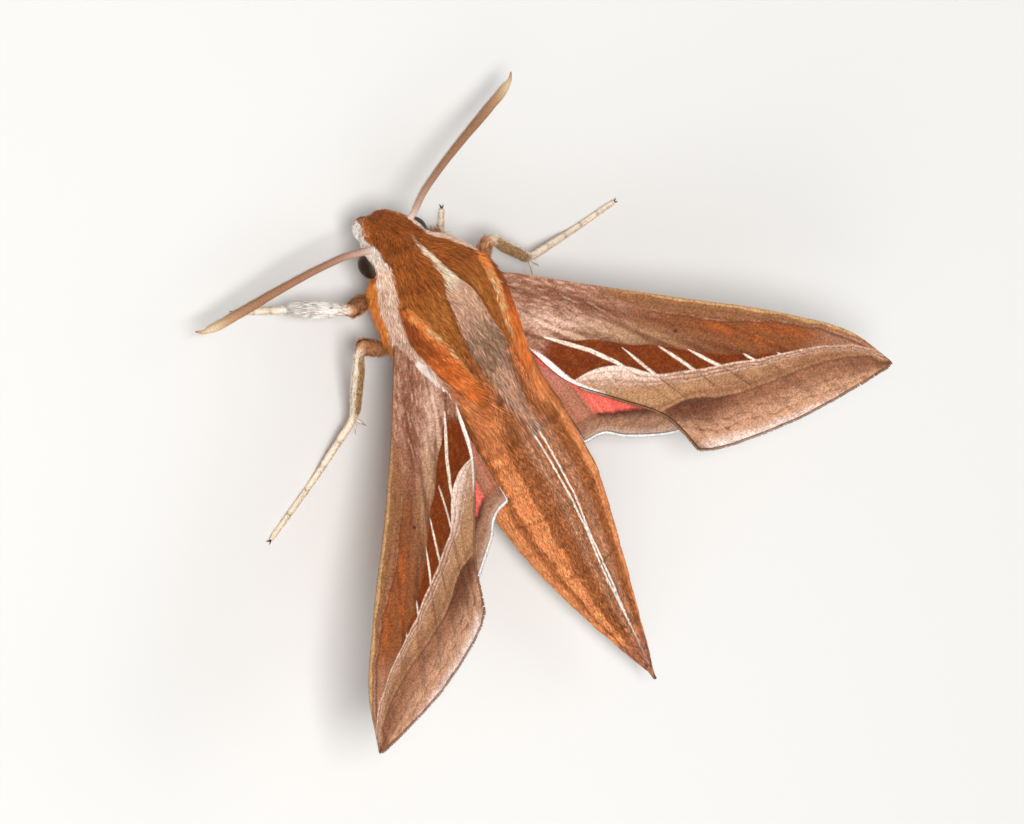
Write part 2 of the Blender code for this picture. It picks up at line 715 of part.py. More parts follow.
def build_legs(moth, cutters, body):
    """The six legs, each one closed body with its foot cut flat where it stands."""
    ground = bpy.data.meshes.new("ground")
    edit = bmesh.new()
    bmesh.ops.create_cube(edit, size=0.06)
    bmesh.ops.translate(edit, vec=(0.0, 0.0, -0.03), verts=edit.verts)
    edit.to_mesh(ground)
    edit.free()
    below = bpy.data.objects.new("below_ground", ground)
    cutters.objects.link(below)
    hide_cutter(below)
    pieces = []
    for name, leg in LEGS.items():
        points = leg_joints(leg, body)
        centres, radii = leg_route(points, leg["swell"])
        limb = as_mesh(tube(moth, name, centres, radii, 8))
        limb.data.shade_smooth()
        join_pieces(limb, build_spurs(cutters, points, leg["spurs"]))
        cut_away(limb, below)
        apply_modifiers(limb)
        pieces.append(limb)
    return pieces


def dress(pieces, finishes):
    """Give each piece the material that the start of its name asks for."""
    for piece in pieces:
        for start, finish in finishes.items():
            if piece.name.startswith(start):
                piece.data.materials.clear()
                piece.data.materials.append(finish)


def build_moth():
    """Build every part of the moth."""
    clear_scene()
    moth = add_collection("hawkmoth")
    cutters = add_collection("cutters")
    body = add_empty(moth, "body_frame", (0.0, -AXIS_FORWARD, AXIS_HEIGHT), (-PITCH, 0.0, 0.0))
    head = add_empty(moth, "head_frame", HEAD_PLACE, (0.0, 0.0, HEAD_YAW), body)
    pieces = build_thorax(moth, cutters, body, head)
    pieces += build_abdomen(moth, body)
    pieces += build_tail_tuft(moth, cutters, body)
    pieces += build_head(moth, cutters, head)
    pieces += build_antennae(moth, head)
    pieces += build_tegulae(moth, body)
    pieces += build_wings(moth, body)
    pieces += build_legs(moth, cutters, body)
    dress(pieces, {
        "thorax": add_finish("thorax_fur", FUR_ORANGE, 0.8),
        "abdomen": add_finish("abdomen_scales", FUR_ORANGE, 0.7),
        "tail_tuft": add_finish("tail_hair", FUR_BROWN, 0.8),
        "head": add_finish("head_fur", FUR_CREAM, 0.8),
        "eye": add_finish("eye_facets", EYE_DARK, 0.2),
        "palp": add_finish("palp_scales", FUR_CREAM, 0.8),
        "tongue": add_finish("tongue_skin", FUR_BROWN, 0.4),
        "antenna": add_finish("antenna_scales", ANTENNA_PINK, 0.6),
        "tegula": add_finish("tegula_scales", FUR_BROWN, 0.7),
        "forewing": add_finish("forewing_scales", WING_BROWN, 0.7),
        "hindwing": add_finish("hindwing_scales", WING_RED, 0.7),
        "foreleg": add_finish("foreleg_scales", LEG_CREAM, 0.7),
        "midleg": add_finish("midleg_scales", LEG_CREAM, 0.7),
        "hindleg": add_finish("hindleg_scales", LEG_CREAM, 0.7),
    })


build_moth()
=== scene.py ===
"""Looks of a double-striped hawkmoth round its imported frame.

Shapes are laid out in millimetres in the moth's body frame: x to its left, y towards
the tail and z up its back, from a point on the axis of the thorax between the wing
roots. A place on the body is given by y and by the angle round it from the top of the
back, positive to the left. Colours are linear red, green and blue, and come from
formulas over those places, so that skin and coat carry the same markings.
"""

import json
import logging
import math
from dataclasses import dataclass
from enum import Enum

import bpy
import numpy as np
from mathutils import Matrix, Vector

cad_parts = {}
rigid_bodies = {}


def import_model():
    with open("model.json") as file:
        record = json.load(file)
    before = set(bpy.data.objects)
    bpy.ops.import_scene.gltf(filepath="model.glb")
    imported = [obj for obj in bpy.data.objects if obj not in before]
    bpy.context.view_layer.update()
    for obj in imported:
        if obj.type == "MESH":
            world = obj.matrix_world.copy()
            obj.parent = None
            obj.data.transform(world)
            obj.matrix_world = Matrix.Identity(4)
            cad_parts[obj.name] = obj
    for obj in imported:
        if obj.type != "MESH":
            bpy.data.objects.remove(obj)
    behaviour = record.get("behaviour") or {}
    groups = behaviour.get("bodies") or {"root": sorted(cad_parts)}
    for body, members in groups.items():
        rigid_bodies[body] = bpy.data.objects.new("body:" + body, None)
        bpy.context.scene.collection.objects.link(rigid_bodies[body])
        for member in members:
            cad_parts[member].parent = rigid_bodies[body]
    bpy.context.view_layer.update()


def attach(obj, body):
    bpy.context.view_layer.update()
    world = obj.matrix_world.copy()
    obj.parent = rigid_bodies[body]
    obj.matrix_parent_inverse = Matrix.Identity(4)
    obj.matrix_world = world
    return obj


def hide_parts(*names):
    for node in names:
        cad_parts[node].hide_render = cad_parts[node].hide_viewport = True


LOG = logging.getLogger("hawkmoth")
BAKE_MAP = "OFBake"
TINT = "tint"
MILLIMETRE = 0.001

# How the body frame stands over the ground
AXIS_HEIGHT = 6.5
AXIS_FORWARD = 10.607
PITCH = math.radians(4.0)

# How the head sits in the body frame
HEAD_PLACE = (0.6, -5.4, -1.0)
HEAD_YAW = math.radians(3.0)

Array = np.ndarray
Colour = tuple[float, float, float]


class Slot(Enum):
    """The record's material slots."""

    THORAX = "thorax_fur"
    TEGULA = "tegula_scales"
    ABDOMEN = "abdomen_scales"
    TAIL = "tail_hair"
    HEAD = "head_fur"
    EYE = "eye_facets"
    TONGUE = "tongue_skin"
    ANTENNA = "antenna_scales"
    FOREWING = "forewing_scales"
    HINDWING = "hindwing_scales"
    LEG = "leg_scales"


class Side(Enum):
    """The moth's two sides, with the sign of x on each."""

    LEFT = 1
    RIGHT = -1

    @property
    def label(self) -> str:
        """Name of the side as the frame's nodes write it."""
        return self.name.lower()


def smooth_rows(rows: Array, at: Array, level: bool = True) -> Array:
    """Read a table at other places of its first column, on smooth cubics.

    The cubic between two rows is h00*a + h10*m0 + h01*b + h11*m1 in the usual Hermite form.

    Args:
        rows: rows of a key followed by values.
        at: the keys to read at, of any shape.
        level: slopes that never overshoot a row, or else the mean slope beside it.

    Returns:
        The values, with one more axis than `at`.
    """
    table = np.asarray(rows, dtype=float)
    key, value = table[:, 0], table[:, 1:]
    at = np.clip(np.asarray(at, dtype=float), key[0], key[-1])
    secant = np.diff(value, axis=0) / np.diff(key)[:, None]
    if level:
        both = secant[:-1] * secant[1:]
        total = secant[:-1] + secant[1:]
        inner = np.where(both > 0.0, 2.0 * both / np.where(both > 0.0, total, 1.0), 0.0)
        slope = np.concatenate((secant[:1], inner, secant[-1:]))
    else:
        slope = np.gradient(value, key, axis=0)
    low = np.clip(np.searchsorted(key, at, side="right") - 1, 0, len(key) - 2)
    width = (key[low + 1] - key[low])[..., None]
    t = (at[..., None] - key[low][..., None]) / width
    rise = value[low + 1] - value[low]
    start, end = slope[low] * width, slope[low + 1] * width
    return value[low] + t * start + t * t * (3 * rise - 2 * start - end) + t ** 3 * (start + end - 2 * rise)


def smooth_route(points: Array, count: int) -> Array:
    """Points at equal parts of the length of a smooth curve through a few points.

    Args:
        points: corners of the route, with any further values in later columns.
        count: how many points to return.

    Returns:
        The points, with the same columns.
    """
    points = np.asarray(points, dtype=float)
    steps = np.linalg.norm(np.diff(points[:, :3], axis=0), axis=1)
    along = np.concatenate(([0.0], np.cumsum(steps)))
    rows = np.column_stack((along, points))
    return smooth_rows(rows, np.linspace(0.0, along[-1], count), level=False)


def read_columns(at: Array, key: Array, table: Array) -> Array:
    """Read every column of a table at other places of its key, on straight lines."""
    return np.stack([np.interp(at, key, column) for column in table.T], axis=-1)


def ramp(value: Array, start: float, end: float) -> Array:
    """Rise smoothly from 0 at `start` to 1 at `end`, as t*t*(3 - 2t)."""
    t = np.clip((np.asarray(value, dtype=float) - start) / (end - start), 0.0, 1.0)
    return t * t * (3.0 - 2.0 * t)


def line_mask(distance: Array, half_width: Array, soft: float) -> Array:
    """1 within a half width of a line, fading out over `soft`."""
    return 1.0 - ramp(np.abs(distance) - half_width, -soft / 2, soft / 2)


def bell(value: Array, middle: float, width: float) -> Array:
    """A soft peak, exp(-t*t) with t as the distance from `middle` over `width`."""
    return np.exp(-((value - middle) / width) ** 2)


def patchy(level: float, depth: float, noise: Array, most: float = 1.0) -> Array:
    """A share that follows a noise, level + depth*noise, kept between 0 and `most`."""
    return np.clip(level + depth * noise, 0.0, most)


def plain(colour: Colour, shape: tuple[int, ...]) -> Array:
    """One colour all over a layout of places."""
    return np.broadcast_to(np.asarray(colour, dtype=float), (*shape, 3)).copy()


def lay(base: Array, colour: Colour | Array, amount: Array) -> Array:
    """Lay one colour or many over others, base + (colour - base) * amount."""
    return base + (np.asarray(colour, dtype=float) - base) * np.asarray(amount)[..., None]


def layers(base: Array, *laid: tuple[Colour | Array, Array]) -> Array:
    """Lay colours over others, one after the other, each with its amount."""
    for colour, amount in laid:
        base = lay(base, colour, amount)
    return base


def waves(first: Array, second: Array, seed: int, scale: tuple[float, float], count: int = 9) -> Array:
    """Smooth seeded noise between about -1 and 1, a sum of sines sin(p*a + q*b + phase).

    Args:
        first: coordinate of each place.
        second: other coordinate of each place.
        seed: fixes the draw.
        scale: typical waves for each unit of either coordinate.
        count: how many sines.

    Returns:
        The noise at each place.
    """
    draw = np.random.default_rng(seed)
    total = np.zeros(np.broadcast(first, second).shape)
    for _ in range(count):
        p, q = draw.normal(0.0, 2 * math.pi, 2) * np.asarray(scale)
        total = total + np.sin(p * first + q * second + draw.uniform(0.0, 2 * math.pi))
    return total / math.sqrt(count)


def unit(vectors: Array) -> Array:
    """Vectors scaled to length 1."""
    return vectors / np.maximum(np.linalg.norm(vectors, axis=-1, keepdims=True), 1e-12)


def to_world(points: Array) -> Array:
    """Turn body frame millimetres into world metres."""
    cos, sin = math.cos(PITCH), math.sin(PITCH)
    x, y, z = points[..., 0], points[..., 1], points[..., 2]
    world = np.stack((x, y * cos + z * sin - AXIS_FORWARD, AXIS_HEIGHT - y * sin + z * cos), axis=-1)
    return world * MILLIMETRE


def from_world(points: Array) -> Array:
    """Turn world millimetres into body frame millimetres."""
    cos, sin = math.cos(PITCH), math.sin(PITCH)
    x, y, z = points[..., 0], points[..., 1] + AXIS_FORWARD, points[..., 2] - AXIS_HEIGHT
    return np.stack((x, y * cos - z * sin, y * sin + z * cos), axis=-1)


def from_head(points: Array) -> Array:
    """Turn places in the head's own frame into the body frame."""
    cos, sin = math.cos(HEAD_YAW), math.sin(HEAD_YAW)
    x, y, z = points[..., 0], points[..., 1], points[..., 2]
    turned = np.stack((x * cos - y * sin, x * sin + y * cos, z), axis=-1)
    return turned + np.asarray(HEAD_PLACE)


# Levels of fineness in the grain, and the part of the noise's range that it uses
GRAIN_DETAIL = 3.0
GRAIN_RANGE = (0.3, 0.7)


@dataclass(frozen=True)
class Finish:
    """A surface whose colour comes from its tint attribute, with grain and fine relief.

    Grain and facets are counted for each millimetre, and the relief is a depth in millimetres.
    """

    name: str
    roughness: float = 0.6
    specular: float = 0.4
    metallic: float = 0.0
    grain: float = 6.0
    grain_depth: float = 0.15
    relief: float = 0.0
    facets: float = 0.0

    def build(self) -> bpy.types.Material:
        """Make the material."""
        finish = bpy.data.materials.new(self.name)
        finish.use_nodes = True
        nodes, links = finish.node_tree.nodes, finish.node_tree.links
        shader = nodes["Principled BSDF"]
        shader.inputs["Roughness"].default_value = self.roughness
        shader.inputs["Specular IOR Level"].default_value = self.specular
        shader.inputs["Metallic"].default_value = self.metallic
        tint = nodes.new("ShaderNodeAttribute")
        tint.attribute_name = TINT
        place = nodes.new("ShaderNodeTexCoord")
        speckle = nodes.new("ShaderNodeTexNoise")
        speckle.inputs["Scale"].default_value = self.grain / MILLIMETRE
        speckle.inputs["Detail"].default_value = GRAIN_DETAIL
        shade = nodes.new("ShaderNodeMapRange")
        shade.inputs["From Min"].default_value = GRAIN_RANGE[0]
        shade.inputs["From Max"].default_value = GRAIN_RANGE[1]
        shade.inputs["To Min"].default_value = 1.0 - self.grain_depth
        shade.inputs["To Max"].default_value = 1.0 + self.grain_depth
        mix = nodes.new("ShaderNodeVectorMath")
        mix.operation = "MULTIPLY"
        links.new(place.outputs["Object"], speckle.inputs["Vector"])
        links.new(speckle.outputs["Fac"], shade.inputs["Value"])
        links.new(tint.outputs["Color"], mix.inputs[0])
        links.new(shade.outputs["Result"], mix.inputs[1])
        links.new(mix.outputs["Vector"], shader.inputs["Base Color"])
        if self.relief:
            bump = nodes.new("ShaderNodeBump")
            bump.inputs["Strength"].default_value = 1.0
            bump.inputs["Distance"].default_value = self.relief * MILLIMETRE
            height = speckle.outputs["Fac"]
            if self.facets:
                cells = nodes.new("ShaderNodeTexVoronoi")
                cells.inputs["Scale"].default_value = self.facets / MILLIMETRE
                links.new(place.outputs["Object"], cells.inputs["Vector"])
                height = cells.outputs["Distance"]
            links.new(height, bump.inputs["Height"])
            links.new(bump.outputs["Normal"], shader.inputs["Normal"])
        return finish


@dataclass
class Shape:
    """Corners, faces, colours and bake map of a mesh before it is made."""

    points: Array
    faces: list[Array]
    tint: Array
    corner_map: Array

    def build(self, name: str, finish: bpy.types.Material, slot: Slot) -> bpy.types.Object:
        """Make the object, with its place in its mesh.

        Args:
            name: the piece's name.
            finish: its material.
            slot: not used.

        Returns:
            The object, riding on the moth.
        """
        mesh = bpy.data.meshes.new(name)
        corners = np.concatenate([face.ravel() for face in self.faces]).astype(np.int32)
        sizes = np.concatenate([np.full(len(face), face.shape[1]) for face in self.faces])
        starts = np.concatenate(([0], np.cumsum(sizes)[:-1])).astype(np.int32)
        mesh.vertices.add(len(self.points))
        mesh.vertices.foreach_set("co", to_world(self.points).astype(np.float32).ravel())
        mesh.loops.add(len(corners))
        mesh.loops.foreach_set("vertex_index", corners)
        mesh.polygons.add(len(sizes))
        mesh.polygons.foreach_set("loop_start", starts)
        mesh.update(calc_edges=True)
        mesh.polygons.foreach_set("use_smooth", np.ones(len(sizes), dtype=bool))
        layer = mesh.uv_layers.new(name=BAKE_MAP)
        layer.data.foreach_set("uv", self.corner_map.astype(np.float32).ravel())
        tints = mesh.color_attributes.new(name=TINT, type="FLOAT_COLOR", domain="POINT")
        shown = np.concatenate((np.clip(self.tint, 0.0, 1.0), np.ones((len(self.tint), 1))), axis=1)
        tints.data.foreach_set("color", shown.astype(np.float32).ravel())
        mesh.validate()
        mesh.materials.append(finish)
        piece = bpy.data.objects.new(name, mesh)
        bpy.context.scene.collection.objects.link(piece)
        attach(piece, "root")
        LOG.info("%s: %d triangles", name, int((sizes - 2).sum()))
        return piece


def tube_shape(rings: Array, tint: Array, window: tuple[float, float, float, float]) -> Shape:
    """A closed skin over rings of points, with a point at each end.

    Args:
        rings: points of each ring, as rings by sides by 3.
        tint: their colours, in the same layout.
        window: the part of the bake map that it fills, as low u, low v, high u and high v.

    Returns:
        The shape.
    """
    count, sides = rings.shape[:2]
    index = np.arange(count * sides).reshape(count, sides)
    onward = np.roll(index, -1, axis=1)
    sheet = np.stack((index[:-1], onward[:-1], onward[1:], index[1:]), axis=-1).reshape(-1, 4)
    row, column = np.meshgrid(np.arange(count - 1), np.arange(sides), indexing="ij")
    spots = np.stack((
        np.stack((row, row, row + 1, row + 1), axis=-1) / (count - 1),
        np.stack((column, column + 1, column + 1, column), axis=-1) / sides,
    ), axis=-1).reshape(-1, 2)
    first, last = count * sides, count * sides + 1
    cap_start = np.stack((np.full(sides, first), onward[0], index[0]), axis=-1)
    cap_end = np.stack((np.full(sides, last), index[-1], onward[-1]), axis=-1)
    side_at = np.arange(sides) / sides
    side_next = side_at + 1.0 / sides

    def cap_map(end: float, *corners: Array) -> Array:
        """Bake map of the triangles that close one end."""
        return np.stack([np.column_stack((np.full(sides, end), at)) for at in corners], axis=1).reshape(-1, 2)

    spots = np.concatenate((
        spots,
        cap_map(0.0, side_at, side_next, side_at),
        cap_map(1.0, side_at, side_at, side_next),
    ))
    low, high = np.array(window[:2]), np.array(window[2:])
    points = np.concatenate((rings.reshape(-1, 3), [rings[0].mean(axis=0)], [rings[-1].mean(axis=0)]))
    tints = np.concatenate((tint.reshape(-1, 3), [tint[0].mean(axis=0)], [tint[-1].mean(axis=0)]))
    return Shape(points, [sheet, cap_start, cap_end], tints, low + spots * (high - low))


def join_shapes(shapes: list[Shape]) -> Shape:
    """Put several shapes into one."""
    shifts = np.cumsum([0] + [len(shape.points) for shape in shapes])
    return Shape(
        np.concatenate([shape.points for shape in shapes]),
        [face + shift for shape, shift in zip(shapes, shifts) for face in shape.faces],
        np.concatenate([shape.tint for shape in shapes]),
        np.concatenate([shape.corner_map for shape in shapes]),
    )


def tube_rings(centres: Array, radii: Array, sides: int, plane: Array, flat: Array | float = 1.0) -> Array:
    """Rings of points round a route.

    Each ring is centre + r*(cos(a)*across + flat*sin(a)*up), where `up` is the plane's
    normal made square to the route.

    Args:
        centres: the route's points.
        radii: radius at each.
        sides: points in a ring.
        plane: a direction the route never runs along.
        flat: the ring's height over its width.

    Returns:
        Points as rings by sides by 3.
    """
    forward = unit(np.gradient(centres, axis=0))
    across = unit(np.cross(forward, plane))
    up = np.cross(forward, across)
    turn = np.linspace(0.0, 2 * math.pi, sides, endpoint=False)
    radii = np.asarray(radii)[:, None, None]
    tall = np.broadcast_to(np.asarray(flat, dtype=float), (len(centres),))[:, None, None]
    cos, sin = np.cos(turn)[None, :, None], np.sin(turn)[None, :, None]
    ring = across[:, None, :] * cos + tall * up[:, None, :] * sin
    return centres[:, None, :] + radii * ring


@dataclass
class Roots:
    """Where tufts grow: places, the skin's normal, the way they lie and their spot on the bake map."""

    place: Array
    normal: Array
    lie: Array
    spot: Array

    def only(self, keep: Array) -> "Roots":
        """The roots that a mask keeps."""
        return Roots(self.place[keep], self.normal[keep], self.lie[keep], self.spot[keep])


# Faces of a tuft over its six corners: two at the root, two and a crest half way, and the tip
TUFT_TRIANGLES = np.array(((0, 1, 4), (0, 4, 2), (1, 3, 4), (2, 4, 5), (4, 3, 5), (3, 2, 5)))
TUFT_SQUARE = np.array(((1, 0, 2, 3),))

# How deep a tuft's root sits, how wide its middle is and how high its crest, over its width
TUFT_SINK = 0.3
TUFT_WAIST = 0.85
TUFT_CREST = 0.28

# Painted shade at a tuft's root and painted highlights on its crest and tip, as factors over its colour
ROOT_PAINTED_SHADE = 0.78
CREST_PAINTED_HIGHLIGHT = 1.06
TIP_PAINTED_HIGHLIGHT = 1.18

# Size of a tuft on the bake map, and its corners there
TUFT_PATCH = 0.003
TUFT_SPOTS = TUFT_PATCH * np.array((
    (-0.5, 0.0), (0.5, 0.0), (-0.42, 0.5), (0.42, 0.5), (0.0, 0.5), (0.0, 1.0)))


def tuft_shape(roots: Roots, length: Array, width: Array, lift: Array, droop: Array, tint: Array) -> Shape:
    """Closed slivers that rise from their roots and bend back to the skin.

    The half near the root leans by `lift` off the skin and the half near the tip by
    `lift - droop`.

    Args:
        roots: where they grow.
        length: length of each.
        width: width of each at its root.
        lift: angle off the skin.
        droop: how far it bends back.
        tint: colour of each.

    Returns:
        One shape with all of them.
    """
    count = len(roots.place)
    lie = unit(roots.lie - roots.normal * np.sum(roots.lie * roots.normal, axis=1, keepdims=True))
    side = np.cross(lie, roots.normal)
    length, width, lift, droop = (
        np.broadcast_to(value, (count,))[:, None] for value in (length, width, lift, droop))
    rise = lie * np.cos(lift) + roots.normal * np.sin(lift)
    fall = lie * np.cos(lift - droop) + roots.normal * np.sin(lift - droop)
    crest = roots.normal * np.cos(lift) - lie * np.sin(lift)
    base = roots.place - roots.normal * width * TUFT_SINK
    middle = roots.place + rise * length * 0.5
    end = middle + fall * length * 0.5
    half = width / 2
    points = np.stack((
        base - side * half,
        base + side * half,
        middle - side * half * TUFT_WAIST,
        middle + side * half * TUFT_WAIST,
        middle + crest * width * TUFT_CREST,
        end,
    ), axis=1)
    # Each tuft's corners carry painted shade at the root and painted highlights on the crest and tip
    shades = np.stack((
        tint * ROOT_PAINTED_SHADE, tint * ROOT_PAINTED_SHADE, tint, tint, tint * CREST_PAINTED_HIGHLIGHT, tint * TIP_PAINTED_HIGHLIGHT), axis=1)
    spots = roots.spot[:, None, :] + TUFT_SPOTS[None]
    shift = (np.arange(count) * 6)[:, None, None]
    triangles = (TUFT_TRIANGLES[None] + shift).reshape(-1, 3)
    squares = (TUFT_SQUARE[None] + shift).reshape(-1, 4)
    flat = spots.reshape(-1, 2)
    corner_map = np.concatenate((flat[triangles.ravel()], flat[squares.ravel()]))
    return Shape(points.reshape(-1, 3), [triangles, squares], shades.reshape(-1, 3), corner_map)


# Body form: rows of y, half width, half height, and the centre's x and z
BODY_ROWS = np.array((
    (-7.95, 0.30, 0.30, 0.74, -1.62),
    (-7.75, 0.80, 0.76, 0.73, -1.52),
    (-7.40, 1.22, 1.15, 0.72, -1.36),
    (-6.95, 1.60, 1.50, 0.70, -1.20),
    (-6.45, 1.88, 1.76, 0.67, -1.08),
    (-6.00, 2.05, 1.92, 0.63, -1.00),
    (-5.40, 2.18, 2.05, 0.58, -0.98),
    (-4.80, 2.40, 2.25, 0.44, -0.93),
    (-4.20, 2.82, 2.62, 0.29, -0.83),
    (-3.40, 3.42, 3.08, 0.16, -0.68),
    (-2.40, 3.92, 3.48, 0.05, -0.55),
    (-1.20, 4.20, 3.75, 0.00, -0.50),
    (0.00, 4.35, 3.86, 0.00, -0.50),
    (2.50, 4.20, 3.73, 0.00, -0.50),
    (5.00, 3.76, 3.34, 0.00, -0.53),
    (7.00, 3.60, 3.25, 0.00, -0.60),
    (8.60, 3.66, 3.42, 0.00, -0.70),
    (12.00, 3.98, 3.98, 0.00, -0.82),
    (15.00, 3.93, 3.93, 0.00, -0.87),
    (18.20, 3.48, 3.40, 0.08, -0.87),
    (21.30, 2.80, 2.68, 0.14, -0.80),
    (24.40, 1.97, 1.88, 0.14, -0.65),
    (27.30, 1.10, 1.06, 0.08, -0.52),
    (29.00, 0.60, 0.58, 0.03, -0.44),
    (30.40, 0.16, 0.16, 0.00, -0.38),
    (31.00, 0.03, 0.03, 0.00, -0.35),
))

# Shoulder plates: rows of y, inner and outer edge as degrees from the top of the back
TEGULA_ROWS = np.array((
    (-3.0, 57.0, 59.0),
    (-2.2, 52.0, 61.5),
    (-1.2, 45.5, 63.5),
    (0.2, 38.5, 63.5),
    (1.5, 33.5, 61.0),
    (3.3, 30.0, 54.0),
    (4.8, 31.0, 47.0),
    (6.2, 36.0, 41.0),
))
TEGULA_LIFT = 0.26

# How far one degree round the body reaches near a shoulder plate, in millimetres
TEGULA_DEGREE = 0.075

# Pale band from the palp over the eye to the wing root: rows of y, upper and lower edge
BAND_ROWS = np.array((
    (-8.0, 98.0, 150.0),
    (-7.4, 84.0, 140.0),
    (-6.9, 63.0, 126.0),
    (-6.4, 52.0, 112.0),
    (-5.2, 51.0, 96.0),
    (-3.9, 55.0, 88.0),
    (-2.2, 61.0, 92.0),
    (0.0, 64.0, 94.0),
    (3.0, 61.0, 90.0),
    (6.0, 55.0, 82.0),
))

# Stripe along the back: rows of y and half width
STRIPE_ROWS = np.array((
    (-6.4, 0.02),
    (-5.9, 0.08),
    (-4.9, 0.14),
    (-3.9, 0.22),
    (-3.0, 0.36),
    (-2.1, 0.72),
    (-1.1, 1.00),
    (0.0, 1.04),
    (2.1, 1.20),
    (4.3, 0.98),
    (6.4, 0.66),
    (8.0, 0.45),
    (9.5, 0.32),
))

SEGMENT_EDGES = np.array((8.9, 11.0, 13.2, 15.6, 18.1, 20.7, 23.3, 25.8, 28.0, 31.0))
SEGMENT_LIFT = 0.055
STRIPE_LIFT = 0.07

# Reach of the abdomen's two pale lines from its middle, by y
LINE_ROWS = np.array((
    (7.0, 0.25), (10.0, 0.22), (14.0, 0.19), (17.0, 0.12), (18.2, 0.055), (20.0, 0.11), (22.0, 0.115),
    (24.0, 0.05), (25.5, 0.012), (31.0, 0.010),
))


def segment_share(y: Array) -> Array:
    """How far y is along its segment of the abdomen, from 0 to 1."""
    low = np.clip(np.searchsorted(SEGMENT_EDGES, y, side="right") - 1, 0, len(SEGMENT_EDGES) - 2)
    return (y - SEGMENT_EDGES[low]) / (SEGMENT_EDGES[low + 1] - SEGMENT_EDGES[low])


@dataclass(frozen=True)
class BodyForm:
    """The outline of head, thorax and abdomen as one form."""

    start: float = -7.95
    end: float = 31.00

    def relief(self, y: Array, angle: Array) -> Array:
        """How far shoulder plates and abdomen segments stand off the plain form."""
        degrees = np.abs(np.degrees(angle))
        edges = smooth_rows(TEGULA_ROWS, y)
        inner = (degrees - edges[..., 0]) * TEGULA_DEGREE
        outer = (edges[..., 1] - degrees) * TEGULA_DEGREE
        ends = np.minimum(y + 3.0, 6.2 - y)
        plate = ramp(inner, 0.0, 0.22) * ramp(outer, -0.1, 0.4) * ramp(ends, 0.0, 1.2)
        share = segment_share(y)
        tail = ramp(y, 9.0, 10.0) * ramp(-y, -29.0, -27.0)
        segment = (ramp(share, 0.0, 0.08) * share - 0.5) * tail
        stripe = smooth_rows(STRIPE_ROWS, y)[..., 0]
        across = np.abs(angle) * 4.1
        crest = ramp(stripe - across, -0.12, 0.12) * ramp(y, -5.5, -3.5) * ramp(-y, -6.0, -3.0)
        return TEGULA_LIFT * plate + SEGMENT_LIFT * segment + STRIPE_LIFT * crest

    def place(self, y: Array, angle: Array) -> Array:
        """Points of the surface at y and the angle round the body."""
        half_width, half_height, centre_x, centre_z = np.moveaxis(smooth_rows(BODY_ROWS, y), -1, 0)
        lift = self.relief(y, angle)
        x = centre_x + (half_width + lift) * np.sin(angle)
        z = centre_z + (half_height + lift) * np.cos(angle)
        return np.stack((x, y + np.zeros_like(x), z), axis=-1)

    def girth(self, y: Array) -> Array:
        """Mean radius at y."""
        return smooth_rows(BODY_ROWS, y)[..., :2].mean(axis=-1)

    def frames(self, y: Array, angle: Array) -> tuple[Array, Array, Array, Array]:
        """Places with the unit vectors outwards, towards the tail and round to the left."""
        step = 0.02
        tailward = unit(self.place(y + step, angle) - self.place(y - step, angle))
        around = unit(self.place(y, angle + step) - self.place(y, angle - step))
        outward = unit(np.cross(around, tailward))
        return self.place(y, angle), outward, tailward, around

    def spot(self, y: Array, angle: Array) -> Array:
        """Where a place of the body lies on the bake map."""
        return np.stack((
            0.01 + 0.98 * (y - self.start) / (self.end - self.start),
            0.01 + 0.98 * np.mod(angle / (2 * math.pi) + 0.5, 1.0),
        ), axis=-1)


FUR_CHESTNUT: Colour = (0.440, 0.128, 0.025)
FUR_GOLDEN: Colour = (0.520, 0.195, 0.042)
FUR_DARK: Colour = (0.150, 0.030, 0.006)
FUR_CREAM: Colour = (0.980, 0.740, 0.540)
FUR_ROSE: Colour = (0.740, 0.430, 0.290)
FUR_GREY: Colour = (0.340, 0.190, 0.108)
FUR_BAND: Colour = (0.920, 0.590, 0.440)
FUR_WHITE: Colour = (1.000, 0.850, 0.760)
PLATE_ORANGE: Colour = (0.960, 0.240, 0.046)
PLATE_GOLD: Colour = (1.000, 0.520, 0.160)
# Pale painted sparkle on some scales of the shoulder plates
PLATE_PAINTED_SPARKLE: Colour = (1.000, 0.760, 0.430)
PLATE_RUST: Colour = (0.500, 0.115, 0.019)
FLUFF: Colour = (1.000, 0.275, 0.052)
BELLY: Colour = (0.560, 0.350, 0.230)
BACK_BROWN: Colour = (0.520, 0.170, 0.050)
BACK_DEEP: Colour = (0.250, 0.075, 0.025)
BACK_ORANGE: Colour = (1.000, 0.350, 0.130)
BACK_TAN: Colour = (0.600, 0.330, 0.205)
TAIL_BROWN: Colour = (0.400, 0.150, 0.078)
LINE_PALE: Colour = (0.980, 0.870, 0.760)
ROOT_MAUVE: Colour = (0.720, 0.450, 0.340)


# Painted shade on the skin under the coat, as a factor over the coat's colour
SKIN_PAINTED_SHADE = 0.8


